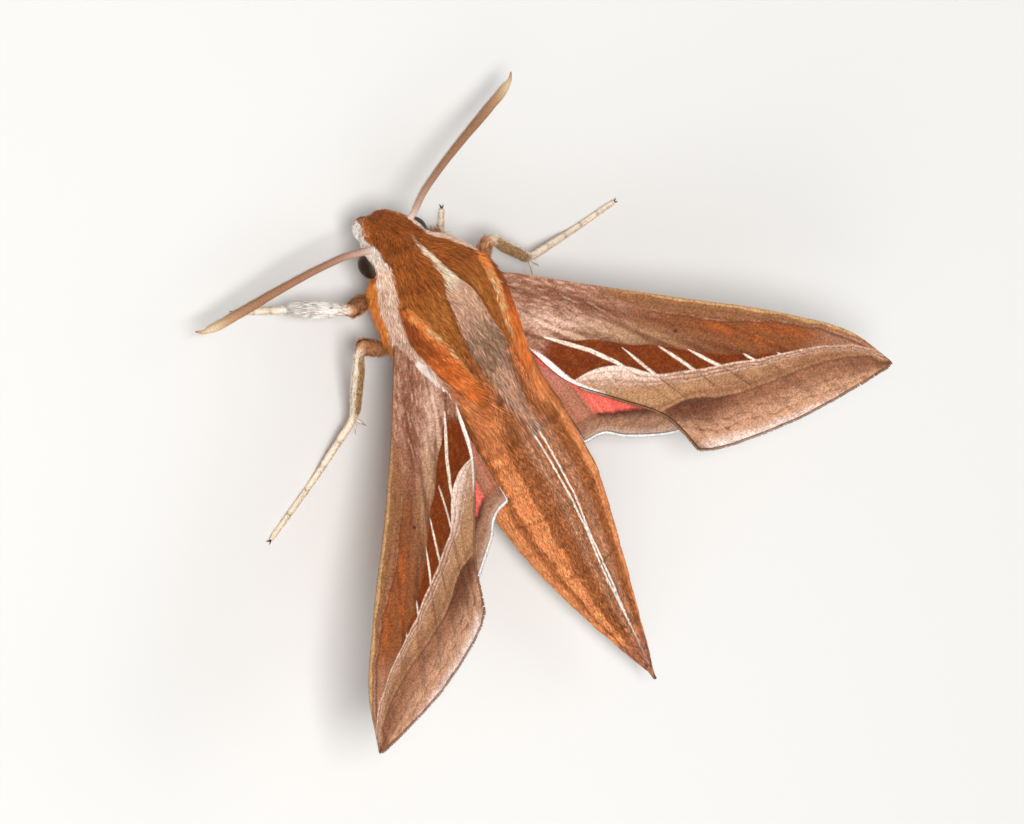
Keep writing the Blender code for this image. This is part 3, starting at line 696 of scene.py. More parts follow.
@dataclass(frozen=True)
class BodyMarkings:
    """The pattern of the body as colour over y and angle."""

    form: BodyForm

    def tint(self, y: Array, angle: Array) -> Array:
        """Colour of skin and coat at each place."""
        y = np.asarray(y, dtype=float)
        degrees = np.abs(np.degrees(angle)) + 1.6 * waves(y, angle * 57.3, 11, (0.5, 0.05))
        off = smooth_rows(BODY_ROWS, y)[..., 2] * ramp(-y, 0.0, 3.0)
        across = np.abs(angle * self.form.girth(y) + off)
        streak = waves(y, angle * 57.3, 12, (0.12, 0.12), 14)
        fine = waves(y, angle * 57.3, 13, (0.35, 0.45), 14)
        colour = self.front(y, degrees, across, streak, fine)
        back = self.back(y, degrees, across, streak, fine)
        return lay(colour, back, ramp(y, 7.4, 9.4))

    def front(self, y: Array, degrees: Array, across: Array, streak: Array, fine: Array) -> Array:
        """Colour of head and thorax."""
        colour = plain(FUR_CHESTNUT, y.shape)
        colour = lay(colour, FUR_GOLDEN, patchy(0.45, 0.4, streak) * ramp(y, -4.5, -1.0))
        collar = ramp(y, -6.4, -4.6) * ramp(-y, 1.0, 3.4)
        colour = lay(colour, FUR_DARK, patchy(0.25, 0.6, fine, 0.8) * collar)
        rear = ramp(y, 0.8, 4.0)
        colour = lay(colour, BACK_BROWN, rear * 0.85)
        colour = lay(colour, BACK_DEEP, rear * patchy(0.3, 0.6, streak, 0.8))
        fan = ramp(y, 3.0, 5.5) * ramp(degrees, 20.0, 34.0) * ramp(-degrees, -66.0, -52.0)
        colour = lay(colour, BACK_ORANGE, fan * patchy(0.58, 0.5, streak))
        colour = self.stripe(colour, y, across, fine)
        colour = self.plates(colour, y, degrees, fine)
        colour = self.sides(colour, y, degrees, fine)
        crown = ramp(-y, 4.6, 6.0) * ramp(-degrees, -60.0, -48.0)
        return lay(colour, FUR_DARK, crown * patchy(0.48, 0.25, fine))

    def stripe(self, colour: Array, y: Array, across: Array, fine: Array) -> Array:
        """Lay the pale stripe along the back of head and thorax."""
        half = smooth_rows(STRIPE_ROWS, y)[..., 0]
        soft = 0.10 + 0.35 * ramp(y, 0.5, 3.5)
        inside = 1.0 - ramp((across - half) / soft, -0.5, 0.5)
        pale = layers(
            plain(FUR_CREAM, y.shape),
            (FUR_ROSE, ramp(y, -3.2, -1.6)),
            (FUR_GREY, ramp(y, -0.4, 1.6) * patchy(0.72, 0.4, fine)),
            (FUR_ROSE, ramp(y, 2.8, 5.6) * 0.70),
        )
        rim = bell(across - half, 0.12, 0.10) * ramp(y, -3.6, -2.4) * ramp(-y, -3.0, -0.5)
        colour = lay(colour, FUR_DARK, 0.65 * rim)
        amount = inside * ramp(y, -6.6, -5.2) * (1.0 - 0.20 * ramp(y, 3.0, 8.0))
        return lay(colour, pale, amount)

    def plates(self, colour: Array, y: Array, degrees: Array, fine: Array) -> Array:
        """Lay the orange shoulder plates with their gold inner edge and dark outer part."""
        edges = smooth_rows(TEGULA_ROWS, y)
        inner, outer = degrees - edges[..., 0], edges[..., 1] - degrees
        ends = ramp(np.minimum(y + 3.0, 7.4 - y), 0.0, 0.8)
        share = np.clip(inner / np.maximum(inner + outer, 1e-6), 0.0, 1.0)
        plate = layers(
            plain(PLATE_ORANGE, y.shape),
            (PLATE_RUST, ramp(share, 0.15, 0.55) * (1.0 - 0.85 * ramp(y, 0.4, 3.4))),
            (PLATE_RUST, patchy(0.10, 0.35, fine, 0.6)),
            (FUR_DARK, ramp(share, 0.20, 0.40) * ramp(-y, -2.2, 0.4) * 0.4),
            (PLATE_ORANGE, bell(inner, 1.8, 2.2)),
            (PLATE_GOLD, bell(inner, 1.5, 1.1) * patchy(0.35, 0.7, fine)),
        )
        inside = ramp(inner, -1.5, 1.0) * ramp(outer, -1.0, 1.0) * ends
        return lay(colour, plate, inside)

    def sides(self, colour: Array, y: Array, degrees: Array, fine: Array) -> Array:
        """Lay the pale side band, the orange fluff under it and the belly."""
        edges = smooth_rows(BAND_ROWS, y)
        under = ramp(degrees - edges[..., 1], -2.0, 3.0)
        colour = lay(colour, FLUFF, under)
        colour = lay(colour, BELLY, ramp(degrees, 118.0, 140.0) * 0.9)
        inside = ramp(degrees - edges[..., 0], -1.5, 1.5) * (1.0 - under) * ramp(-y, -4.6, -2.2)
        band = plain(FUR_BAND, y.shape)
        band = lay(band, FUR_WHITE, 0.6 * ramp(-y, 4.6, 6.0))
        band = lay(band, FUR_GREY, np.clip(0.30 * fine, 0.0, 0.4) * ramp(y, -4.0, -2.0))
        return lay(colour, band, inside)

    def back(self, y: Array, degrees: Array, across: Array, streak: Array, fine: Array) -> Array:
        """Colour of the abdomen."""
        colour = layers(
            plain(BACK_BROWN, y.shape),
            (BACK_TAN, bell(degrees, 12.0, 7.0) * 0.62),
            (BACK_DEEP, np.clip(0.20 + 0.22 * streak + 0.16 * fine, 0.0, 0.5)),
            (BACK_DEEP, bell(degrees, 26.0, 6.0) * 0.4),
        )
        share = segment_share(y)
        bright = np.clip(0.82 + 0.24 * streak + 0.20 * fine + 0.2 * share, 0.0, 1.0)
        aside = np.abs(degrees - 47.5 - 6.0 * ramp(y, 19.0, 26.0))
        colour = lay(colour, BACK_ORANGE, ramp(-aside, -12.5, -7.0) * bright)
        rim = ramp(degrees, 66.0, 76.0) * patchy(0.76, 0.45, fine, 0.97)
        colour = layers(
            colour,
            (BACK_ORANGE, rim),
            (FUR_WHITE, bell(degrees, 114.0, 4.0) * 0.4),
            (BELLY, ramp(degrees, 112.0, 130.0)),
            (BACK_DEEP, 0.30 * bell(share, 0.97, 0.05)),
            (TAIL_BROWN, ramp(y, 26.4, 27.6) * patchy(0.9, 0.2, streak)),
        )
        lines = line_mask(across - self.line_gap(y), 0.062, 0.05)
        fade = ramp(y, 7.4, 8.8) * (1.0 - 0.75 * ramp(y, 25.0, 28.0))
        return lay(colour, LINE_PALE, lines * fade * 0.95)

    def line_gap(self, y: Array) -> Array:
        """How far each of the two pale lines runs from the middle of the abdomen."""
        return smooth_rows(LINE_ROWS, y)[..., 0]


class BodyPart(Enum):
    """Stretches of the coat, each as name, slot, tufts, seed, and limits of y and degrees."""

    HEAD = ("coat_head", Slot.HEAD, 16500, 21, (-7.88, -4.1), (0.0, 180.0))
    BACK = ("coat_thorax_back", Slot.THORAX, 23500, 22, (-4.1, 9.0), (0.0, 66.0))
    FLANK = ("coat_thorax_flank", Slot.THORAX, 15000, 23, (-4.1, 9.0), (66.0, 180.0))
    LOIN = ("coat_abdomen_front", Slot.ABDOMEN, 24000, 24, (8.7, 16.2), (0.0, 180.0))
    RUMP = ("coat_abdomen_rear", Slot.ABDOMEN, 22000, 25, (16.2, 28.6), (0.0, 180.0))
    TAIL = ("coat_tail", Slot.TAIL, 4200, 26, (26.4, 30.7), (0.0, 180.0))


@dataclass(frozen=True)
class Body:
    """Skin and coat of head, thorax, abdomen and tail tuft."""

    form: BodyForm
    markings: BodyMarkings
    rings: int = 420
    sides: int = 150
    eye_clear: float = 1.09

    def build(self, fur: bpy.types.Material, gilt: bpy.types.Material, hide: bpy.types.Material) -> None:
        """Make the skin and every stretch of the coat.

        Args:
            fur: finish of the coat.
            gilt: finish of the shoulder plates' scales.
            hide: finish of the skin.
        """
        y = np.linspace(self.form.start, self.form.end, self.rings)
        angle = np.linspace(-math.pi, math.pi, self.sides, endpoint=False)
        rows, columns = np.meshgrid(y, angle, indexing="ij")
        rings = self.form.place(rows, columns)
        # The skin takes the coat's markings, darkened by painted shade under the coat
        tint = self.markings.tint(rows, columns) * SKIN_PAINTED_SHADE
        skin = tube_shape(rings, tint, (0.01, 0.01, 0.97, 0.99)).build("skin", hide, Slot.THORAX)
        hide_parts("thorax", "head", "abdomen", "tail_tuft", "tegula_left", "tegula_right")
        for part in BodyPart:
            name, slot, count, seed, reach, span = part.value
            roots, rows, columns = self.roots(count, seed, reach, span)
            self.coat(part, roots, rows, columns, seed).build(name, fur, slot)
        self.plate_scales(gilt)
        self.fans(fur)
        self.line_scales(fur)
        self.brow(fur)

    def roots(self, count: int, seed: int, reach: tuple[float, float],
              span: tuple[float, float]) -> tuple[Roots, Array, Array]:
        """Spread roots evenly over a stretch of the body.

        Two steps of golden-ratio sequences give even places, and y is drawn so that each
        part of the surface gets its share by area.

        Args:
            count: how many roots.
            seed: shifts the sequences.
            reach: limits of y.
            span: limits of the angle in degrees, for both sides.

        Returns:
            The roots, and their y and angle.
        """
        order = np.arange(count)
        first = np.mod(seed * 0.137 + order * 0.7548776662, 1.0)
        second = np.mod(seed * 0.311 + order * 0.5698402910, 1.0)
        steps = np.linspace(reach[0], reach[1], 200)
        share = np.concatenate(([0.0], np.cumsum(self.form.girth((steps[1:] + steps[:-1]) / 2))))
        y = np.interp(first, share / share[-1], steps)
        half = span[0] + (span[1] - span[0]) * np.abs(2 * second - 1)
        angle = np.radians(half) * np.where(second > 0.5, 1.0, -1.0)
        draw = np.random.default_rng(seed)
        y = np.clip(y + draw.normal(0.0, 0.03, count), reach[0], reach[1])
        angle = angle + draw.normal(0.0, 0.008, count)
        loose = 0.12 - 0.075 * ramp(y, 7.0, 11.0)
        swing = self.swing(y, angle) + draw.normal(0.0, 1.0, count) * loose
        roots = self.planted(y, angle, np.cos(swing), np.sin(swing))
        keep = self.clear_of_eyes(roots.place)
        return roots.only(keep), y[keep], angle[keep]

    def planted(self, y: Array, angle: Array, back: Array | float, aside: Array | float,
                rise: float = 0.0) -> Roots:
        """Roots at places of the body that lie by back*tailward + aside*(away from the middle).

        Args:
            y: place along the body.
            angle: place round it.
            back: weight of the way to the tail.
            aside: weight of the way down the nearer side.
            rise: how far the roots stand off the skin.

        Returns:
            The roots.
        """
        place, outward, tailward, around = self.form.frames(y, angle)
        away = np.sign(angle)[:, None] * around
        lie = tailward * np.reshape(back, (-1, 1)) + away * np.reshape(aside, (-1, 1))
        return Roots(place + outward * rise, outward, lie, self.form.spot(y, angle))

    def clear_of_eyes(self, place: Array) -> Array:
        """Mask of the places that no eye covers."""
        keep = np.ones(len(place), dtype=bool)
        for side in Side:
            centre = from_head(np.array((side.value * EYE_PLACE[0], EYE_PLACE[1], EYE_PLACE[2])))
            keep &= np.linalg.norm(place - centre, axis=1) > self.eye_clear
        return keep

    def swing(self, y: Array, angle: Array) -> Array:
        """How far the coat lies away from straight back, in radians, outwards positive."""
        degrees = np.abs(np.degrees(angle))
        plate = ramp(degrees, 28.0, 40.0) * ramp(-degrees, -70.0, -60.0)
        plate = plate * ramp(y, -2.5, -1.0) * ramp(-y, -9.5, -7.0)
        head = 0.25 * ramp(-y, 4.0, 6.0) * ramp(degrees, 5.0, 40.0)
        curl = 0.16 * waves(y, angle * 57.3, 31, (0.18, 0.02), 6) * (1.0 - 0.85 * ramp(y, 7.0, 11.0))
        return head - 0.38 * plate + curl

    def coat(self, part: BodyPart, roots: Roots, y: Array, angle: Array, seed: int) -> Shape:
        """Tufts of one stretch of the coat."""
        draw = np.random.default_rng(seed + 100)
        count = len(y)
        degrees = np.abs(np.degrees(angle))
        vary = draw.uniform(0.75, 1.25, count)
        shade = np.exp(draw.normal(0.0, 1.0, count) * (0.24 + 0.12 * ramp(degrees, 85.0, 100.0)))[:, None]
        tint = self.markings.tint(y, angle) * shade
        if part is BodyPart.HEAD:
            length = 0.46 + 0.38 * ramp(y, -7.2, -4.4)
            width, lift, droop = 0.064, 0.22, 0.16
        elif part is BodyPart.BACK:
            length = 0.82 + 0.80 * ramp(y, 1.0, 5.0)
            width, lift, droop = 0.062, 0.20, 0.17
        elif part is BodyPart.FLANK:
            length = 0.7 + 0.45 * ramp(degrees, 92.0, 110.0)
            width = 0.066
            lift = 0.18 + 0.26 * ramp(degrees, 94.0, 108.0) * ramp(-y, -4.0, -1.0)
            droop = 0.2
        elif part is BodyPart.TAIL:
            length = np.minimum(1.3, 31.25 - y) / vary
            width, lift, droop = 0.10, 0.05, 0.07
        else:
            length = 0.55 + 0.3 * ramp(y, 22.0, 27.0)
            width, lift, droop = 0.085, 0.10, 0.09
        lift = lift * draw.uniform(0.6, 1.5, count)
        return tuft_shape(roots, length * vary, width * draw.uniform(0.8, 1.25, count), lift, droop, tint)

    def plate_scales(self, gilt: bpy.types.Material) -> None:
        """Make the glossy scales of the shoulder plates, thick along their inner edge, with painted sparkle
        on some near it.
        """
        count, seed = 9000, 41
        draw = np.random.default_rng(seed)
        y = draw.uniform(-2.3, 7.0, count)
        edges = smooth_rows(TEGULA_ROWS, y)
        share = np.where(draw.random(count) < 0.5, np.abs(draw.normal(0.0, 0.10, count)), draw.random(count))
        degrees = edges[:, 0] + np.clip(share, 0.0, 1.0) * (edges[:, 1] - edges[:, 0])
        angle = np.radians(degrees) * draw.choice((-1.0, 1.0), count)
        swing = -0.42 + draw.normal(0.0, 0.16, count)
        roots = self.planted(y, angle, np.cos(swing), np.sin(swing), 0.05)
        tint = self.markings.tint(y, angle)
        # Painted sparkle: pale highlights on some scales near the plate's inner edge
        painted_sparkle = (draw.random(count) < 0.40) * bell(share, 0.03, 0.09) * ramp(y, -2.2, -0.6)
        tint = lay(tint, PLATE_PAINTED_SPARKLE, painted_sparkle) * np.exp(draw.normal(0.0, 0.24, count))[:, None]
        shape = tuft_shape(roots, draw.uniform(0.5, 1.0, count), draw.uniform(0.055, 0.09, count),
                           draw.uniform(0.10, 0.3, count), 0.14, tint)
        shape.build("coat_tegulae", gilt, Slot.TEGULA)

    def fans(self, fur: bpy.types.Material) -> None:
        """Make the long hair behind the shoulder plates and the white tufts at the wing roots."""
        count, seed = 5200, 43
        draw = np.random.default_rng(seed)
        y = draw.uniform(3.2, 7.6, count)
        degrees = draw.uniform(24.0, 60.0, count)
        angle = np.radians(degrees) * draw.choice((-1.0, 1.0), count)
        swing = -0.25 + draw.normal(0.0, 0.14, count)
        roots = self.planted(y, angle, np.cos(swing), np.sin(swing))
        tint = lay(self.markings.tint(y, angle), BACK_ORANGE, 0.55 * draw.random(count))
        tint = tint * draw.normal(1.0, 0.16, count)[:, None]
        long_hair = tuft_shape(roots, draw.uniform(1.3, 2.2, count), 0.085,
                               draw.uniform(0.10, 0.26, count), 0.2, tint)
        count = 2200
        y = draw.uniform(-0.6, 5.2, count)
        degrees = np.interp(y, (-0.6, 2.4, 5.2), (84.0, 70.0, 60.0))
        degrees = degrees + draw.normal(0.0, 4.0, count) * ramp(-y, -4.5, 0.0)
        angle = np.radians(degrees) * draw.choice((-1.0, 1.0), count)
        aside = np.interp(y, (-0.6, 3.0, 5.2), (0.55, 0.25, -0.1)) + draw.normal(0.0, 0.12, count)
        roots = self.planted(y, angle, 0.93, aside)
        shades = np.asarray(ROOT_MAUVE) * draw.normal(0.95, 0.14, count)[:, None]
        mauve = tuft_shape(roots, draw.uniform(0.7, 1.5, count), 0.075,
                           draw.uniform(0.12, 0.35, count), 0.3, shades)
        count = 1500
        y = draw.uniform(1.4, 4.7, count)
        angle = np.radians(np.interp(y, (1.4, 4.7), (70.0, 65.0)) + draw.normal(0.0, 2.6, count))
        angle = angle * draw.choice((-1.0, 1.0), count)
        roots = self.planted(y, angle, 0.95, draw.normal(0.16, 0.06, count))
        shades = np.asarray(FUR_WHITE) * draw.normal(1.0, 0.08, count)[:, None]
        white = tuft_shape(roots, draw.uniform(0.9, 1.6, count), 0.07,
                           draw.uniform(0.25, 0.5, count), 0.45, shades)
        join_shapes([long_hair, mauve, white]).build("coat_fans", fur, Slot.THORAX)

    def line_scales(self, fur: bpy.types.Material) -> None:
        """Make the flat pale scales of the two lines along the abdomen."""
        count, seed = 5200, 47
        draw = np.random.default_rng(seed)
        y = 8.0 + 18.8 * draw.random(count)
        across = self.markings.line_gap(y) + draw.normal(0.0, 0.024, count)
        angle = across / self.form.girth(y) * draw.choice((-1.0, 1.0), count)
        roots = self.planted(y, angle, 1.0, 0.0, 0.035)
        shade = draw.normal(1.0, 0.09, count)[:, None]
        pale = ramp(y, 8.0, 9.4) * (1.0 - 0.6 * ramp(y, 24.5, 26.8))
        tint = lay(self.markings.tint(y, angle), LINE_PALE, pale) * shade
        shape = tuft_shape(roots, draw.uniform(0.3, 0.55, count), draw.uniform(0.040, 0.065, count),
                           draw.uniform(0.07, 0.14, count), 0.1, tint)
        shape.build("coat_back_lines", fur, Slot.ABDOMEN)

    def brow(self, fur: bpy.types.Material) -> None:
        """Make the hair that lies forward from the head over the roots of the palps."""
        count, seed = 2600, 49
        draw = np.random.default_rng(seed)
        y = draw.uniform(-7.85, -6.9, count)
        angle = np.radians(draw.uniform(0.0, 100.0, count)) * draw.choice((-1.0, 1.0), count)
        place, outward, tailward, around = self.form.frames(y, angle)
        kept = self.clear_of_eyes(place)
        lie = -tailward * 0.9 + around * draw.normal(0.0, 0.15, count)[:, None]
        roots = Roots(place, outward, lie, self.form.spot(y, angle)).only(kept)
        y, angle, count = y[kept], angle[kept], int(kept.sum())
        tint = self.markings.tint(y, angle) * np.exp(draw.normal(0.0, 0.2, count))[:, None]
        shape = tuft_shape(roots, draw.uniform(0.35, 0.6, count), 0.07,
                           draw.uniform(0.10, 0.3, count), 0.4, tint)
        shape.build("coat_brow", fur, Slot.HEAD)


EYE_PLACE = (1.85, 0.24, -0.52)
EYE_RADIUS = 1.06

# The bake map of a piece that has it to itself, and its two halves where it is shared
WHOLE_MAP = (0.01, 0.01, 0.99, 0.99)
FIRST_HALF = (0.01, 0.01, 0.49, 0.99)


def half_map(along: Array, around: Array) -> Array:
    """Spots on the second half of a shared bake map."""
    return np.stack((0.51 + 0.48 * along, around), axis=-1)


def head_direction(vectors: Array) -> Array:
    """Turn directions in the head's own frame into the body frame."""
    return from_head(vectors) - np.asarray(HEAD_PLACE)


@dataclass(frozen=True)
class Eye:
    """A compound eye: a dark ball with a brown rim and a greenish painted highlight on its upper side."""

    side: Side
    rings: int = 48
    sides: int = 64
    ball: Colour = (0.022, 0.008, 0.004)
    rim: Colour = (0.26, 0.095, 0.050)
    painted_highlight: Colour = (0.12, 0.10, 0.048)

    def build(self, finish: bpy.types.Material) -> None:
        """Make the eye."""
        outward = np.array((self.side.value * 0.93, -0.16, 0.33))
        outward = outward / np.linalg.norm(outward)
        across = unit(np.cross(outward, (0.0, 0.0, 1.0)))
        up = np.cross(across, outward)
        polar = np.linspace(0.02, math.pi - 0.02, self.rings)
        turn = np.linspace(0.0, 2 * math.pi, self.sides, endpoint=False)
        level, around = np.meshgrid(polar, turn, indexing="ij")
        direction = (outward * np.cos(level)[..., None]
                     + across * (np.sin(level) * np.cos(around))[..., None]
                     + up * (np.sin(level) * np.sin(around))[..., None])
        centre = np.array((self.side.value * EYE_PLACE[0], EYE_PLACE[1], EYE_PLACE[2]))
        rings = from_head(centre + EYE_RADIUS * direction)
        degrees = np.degrees(level)
        tint = lay(plain(self.ball, level.shape), self.rim, bell(degrees, 66.0, 13.0) * 0.9)
        # Painted highlight: a greenish patch on the eye's upper side
        highlight_mask = bell(degrees, 48.0, 12.0) * ramp(np.sin(around), 0.2, 0.9)
        tint = lay(tint, self.painted_highlight, highlight_mask * 0.6)
        piece = tube_shape(rings, tint, WHOLE_MAP).build("eye_ball_" + self.side.label, finish, Slot.EYE)
        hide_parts("eye_" + self.side.label)


# How far the right palp sits behind the left one
PALP_BACK = 0.45


@dataclass(frozen=True)
class Palp:
    """A rounded palp in front of the face, with its coat of short scales."""

    side: Side
    centre: tuple[float, float, float] = (0.70, -1.66, -1.22)
    half: tuple[float, float, float] = (0.74, 1.02, 1.00)
    tufts: int = 2600
    nose: Colour = (0.520, 0.240, 0.130)

    def build(self, hide: bpy.types.Material, fur: bpy.types.Material) -> None:
        """Make the palp and its coat.

        Args:
            hide: finish of the skin.
            fur: finish of the coat.
        """
        polar = np.linspace(0.03, math.pi - 0.03, 30)
        turn = np.linspace(0.0, 2 * math.pi, 36, endpoint=False)
        level, around = np.meshgrid(polar, turn, indexing="ij")
        centre = np.array((self.side.value * self.centre[0], self.centre[1], self.centre[2]))
        if self.side is Side.RIGHT:
            centre[1] += PALP_BACK
        half = np.array(self.half)

        def point(level: Array, around: Array) -> tuple[Array, Array]:
            """A place on the palp and its outward direction, both in the head's frame."""
            ball = np.stack((
                np.sin(level) * np.cos(around),
                -np.cos(level),
                np.sin(level) * np.sin(around),
            ), axis=-1)
            return centre + half * ball, unit(ball / half)

        place, outward = point(level, around)
        # The palp's skin takes its coat's colours, darkened by painted shade under the coat
        shade = self.tint(outward)[:, ::-1] * SKIN_PAINTED_SHADE
        skin = tube_shape(from_head(place)[:, ::-1], shade, WHOLE_MAP)
        piece = skin.build("palp_skin_" + self.side.label, hide, Slot.HEAD)
        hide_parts("palp_" + self.side.label)
        count = self.tufts
        draw = np.random.default_rng(51 + self.side.value)
        level = np.arccos(draw.uniform(-0.95, 0.98, count))
        around = draw.uniform(0.0, 2 * math.pi, count)
        place, outward = point(level, around)
        back = np.tile((0.0, 0.55, 0.75), (count, 1))
        spots = np.stack((0.02 + 0.95 * level / math.pi, 0.02 + 0.95 * around / (2 * math.pi)), axis=-1)
        roots = Roots(from_head(place), head_direction(outward), head_direction(back), spots)
        tint = self.tint(outward) * draw.normal(1.0, 0.12, count)[:, None]
        coat = tuft_shape(roots, draw.uniform(0.28, 0.5, count), 0.06,
                          draw.uniform(0.10, 0.28, count), 0.2, tint)
        coat.build("coat_palp_" + self.side.label, fur, Slot.HEAD)

    def tint(self, outward: Array) -> Array:
        """Brown above and in front, pale pink on the outer side and white below."""
        colour = plain(FUR_CHESTNUT, outward.shape[:-1])
        colour = lay(colour, self.nose, ramp(-outward[..., 1], 0.60, 0.95) * 0.7)
        outer = self.side.value * outward[..., 0]
        colour = lay(colour, FUR_WHITE, ramp(outer - 0.45 * outward[..., 2], 0.28, 0.44))
        return lay(colour, FUR_WHITE, ramp(-outward[..., 2], 0.2, 0.6))


@dataclass(frozen=True)
class Tongue:
    """The tongue, wound in a flat coil under the face."""

    centre: tuple[float, float, float] = (0.0, -1.6, -2.56)
    reach: tuple[float, float] = (0.62, 0.22)
    turns: float = 1.25
    radius: float = 0.13
    ringing: float = 22.0
    brown: Colour = (0.24, 0.12, 0.06)

    def build(self, finish: bpy.types.Material) -> None:
        """Make the coil, ringed along its length."""
        turn = np.linspace(0.0, self.turns * 2 * math.pi, 110)
        reach = np.linspace(self.reach[0], self.reach[1], len(turn))
        centres = np.column_stack((
            np.full_like(turn, self.centre[0]),
            self.centre[1] - reach * np.sin(turn),
            self.centre[2] + reach * np.cos(turn),
        ))
        wave = np.sin(turn * self.ringing)
        radii = self.radius * (1.0 - 0.35 * turn / turn[-1]) * (1.0 + 0.05 * wave)
        rings = from_head(tube_rings(centres, radii, 14, np.array((1.0, 0.0, 0.0))))
        tint = plain(self.brown, rings.shape[:-1]) * (1.0 + 0.2 * wave)[:, None, None]
        piece = tube_shape(rings, tint, WHOLE_MAP).build("tongue_coil", finish, Slot.TONGUE)
        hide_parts("tongue")


@dataclass(frozen=True)
class Antenna:
    """A feeler of many short rings, with a row of fine bristles below and a hooked tip."""

    side: Side
    root: tuple[float, float, float] = (2.1, -1.15, 0.75)
    rings_of_body: int = 64
    bristles: int = 1500
    bristle: Colour = (0.80, 0.64, 0.50)

    # Rows of reach outwards, forwards and down from the root, and radius
    SHAPE = np.array((
        (-0.55, -0.20, 0.05, 0.24),
        (0.0, 0.00, 0.00, 0.24),
        (1.5, 0.60, 0.20, 0.24),
        (3.5, 1.05, 0.55, 0.25),
        (6.5, 1.45, 1.20, 0.29),
        (9.8, 1.75, 2.00, 0.34),
        (11.8, 2.00, 2.42, 0.27),
        (12.4, 2.18, 2.54, 0.15),
        (12.8, 2.52, 2.62, 0.05),
    ))

    # Rows of the share along it, and the colour there
    TINTS = np.array((
        (0.0, 0.76, 0.58, 0.49),
        (0.10, 0.48, 0.29, 0.22),
        (0.30, 0.33, 0.165, 0.100),
        (0.60, 0.32, 0.155, 0.080),
        (0.80, 0.42, 0.23, 0.125),
        (0.93, 0.68, 0.49, 0.30),
        (1.0, 0.40, 0.17, 0.07),
    ))

    def build(self, finish: bpy.types.Material) -> None:
        """Make the antenna with its bristles in one piece."""
        sign = self.side.value
        route = smooth_route(self.SHAPE, 330)
        centres = np.column_stack((
            sign * (self.root[0] + route[:, 0]),
            self.root[1] - route[:, 1],
            self.root[2] - route[:, 2],
        ))
        share = np.linspace(0.0, 1.0, len(route))
        saw = np.mod(share * self.rings_of_body, 1.0)
        radii = route[:, 3] * (0.93 + 0.12 * saw - 0.10 * ramp(saw, 0.82, 1.0))
        rings = from_head(tube_rings(centres, radii, 14, np.array((0.0, 0.0, 1.0)), 0.85))
        base = self.tint(share)[:, None, :] * (0.88 + 0.2 * saw)[:, None, None]
        tint = np.broadcast_to(base, rings.shape).copy()
        tube = tube_shape(rings, tint, FIRST_HALF)
        count = self.bristles
        draw = np.random.default_rng(61 + sign)
        at = draw.uniform(0.06, 0.93, count)
        spot = read_columns(at, share, centres)
        radius = np.interp(at, share, radii)
        forward = unit(read_columns(at, share, np.gradient(centres, axis=0)))
        down = np.tile((0.0, -0.85, -0.50), (count, 1)) + draw.normal(0.0, 0.28, (count, 3))
        outward = unit(down - forward * np.sum(down * forward, axis=1, keepdims=True))
        place = from_head(spot + outward * (radius * 0.85)[:, None])
        roots = Roots(place, head_direction(outward), head_direction(forward),
                      half_map(at, draw.uniform(0.02, 0.97, count)))
        hair = lay(self.tint(at), self.bristle, np.full(count, 0.6))
        bristles = tuft_shape(roots, draw.uniform(0.14, 0.24, count), 0.03, 0.95, 0.35, hair)
        piece = join_shapes([tube, bristles]).build("antenna_ringed_" + self.side.label, finish, Slot.ANTENNA)
        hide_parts("antenna_" + self.side.label)

    def tint(self, share: Array) -> Array:
        """Pale rose at the root, pinkish brown along the middle and tan at the tip."""
        return smooth_rows(self.TINTS, share)


# Radius at each joint of a leg, and how far its foot's joints stand over the ground, over the radius
LEG_RADII = (0.45, 0.47, 0.40, 0.33, 0.27, 0.23)
LEG_SINK = 0.6

# How far the first joint lies inside the thorax, and the second outside it
LEG_ROOT = 0.3
LEG_HIP = 1.15


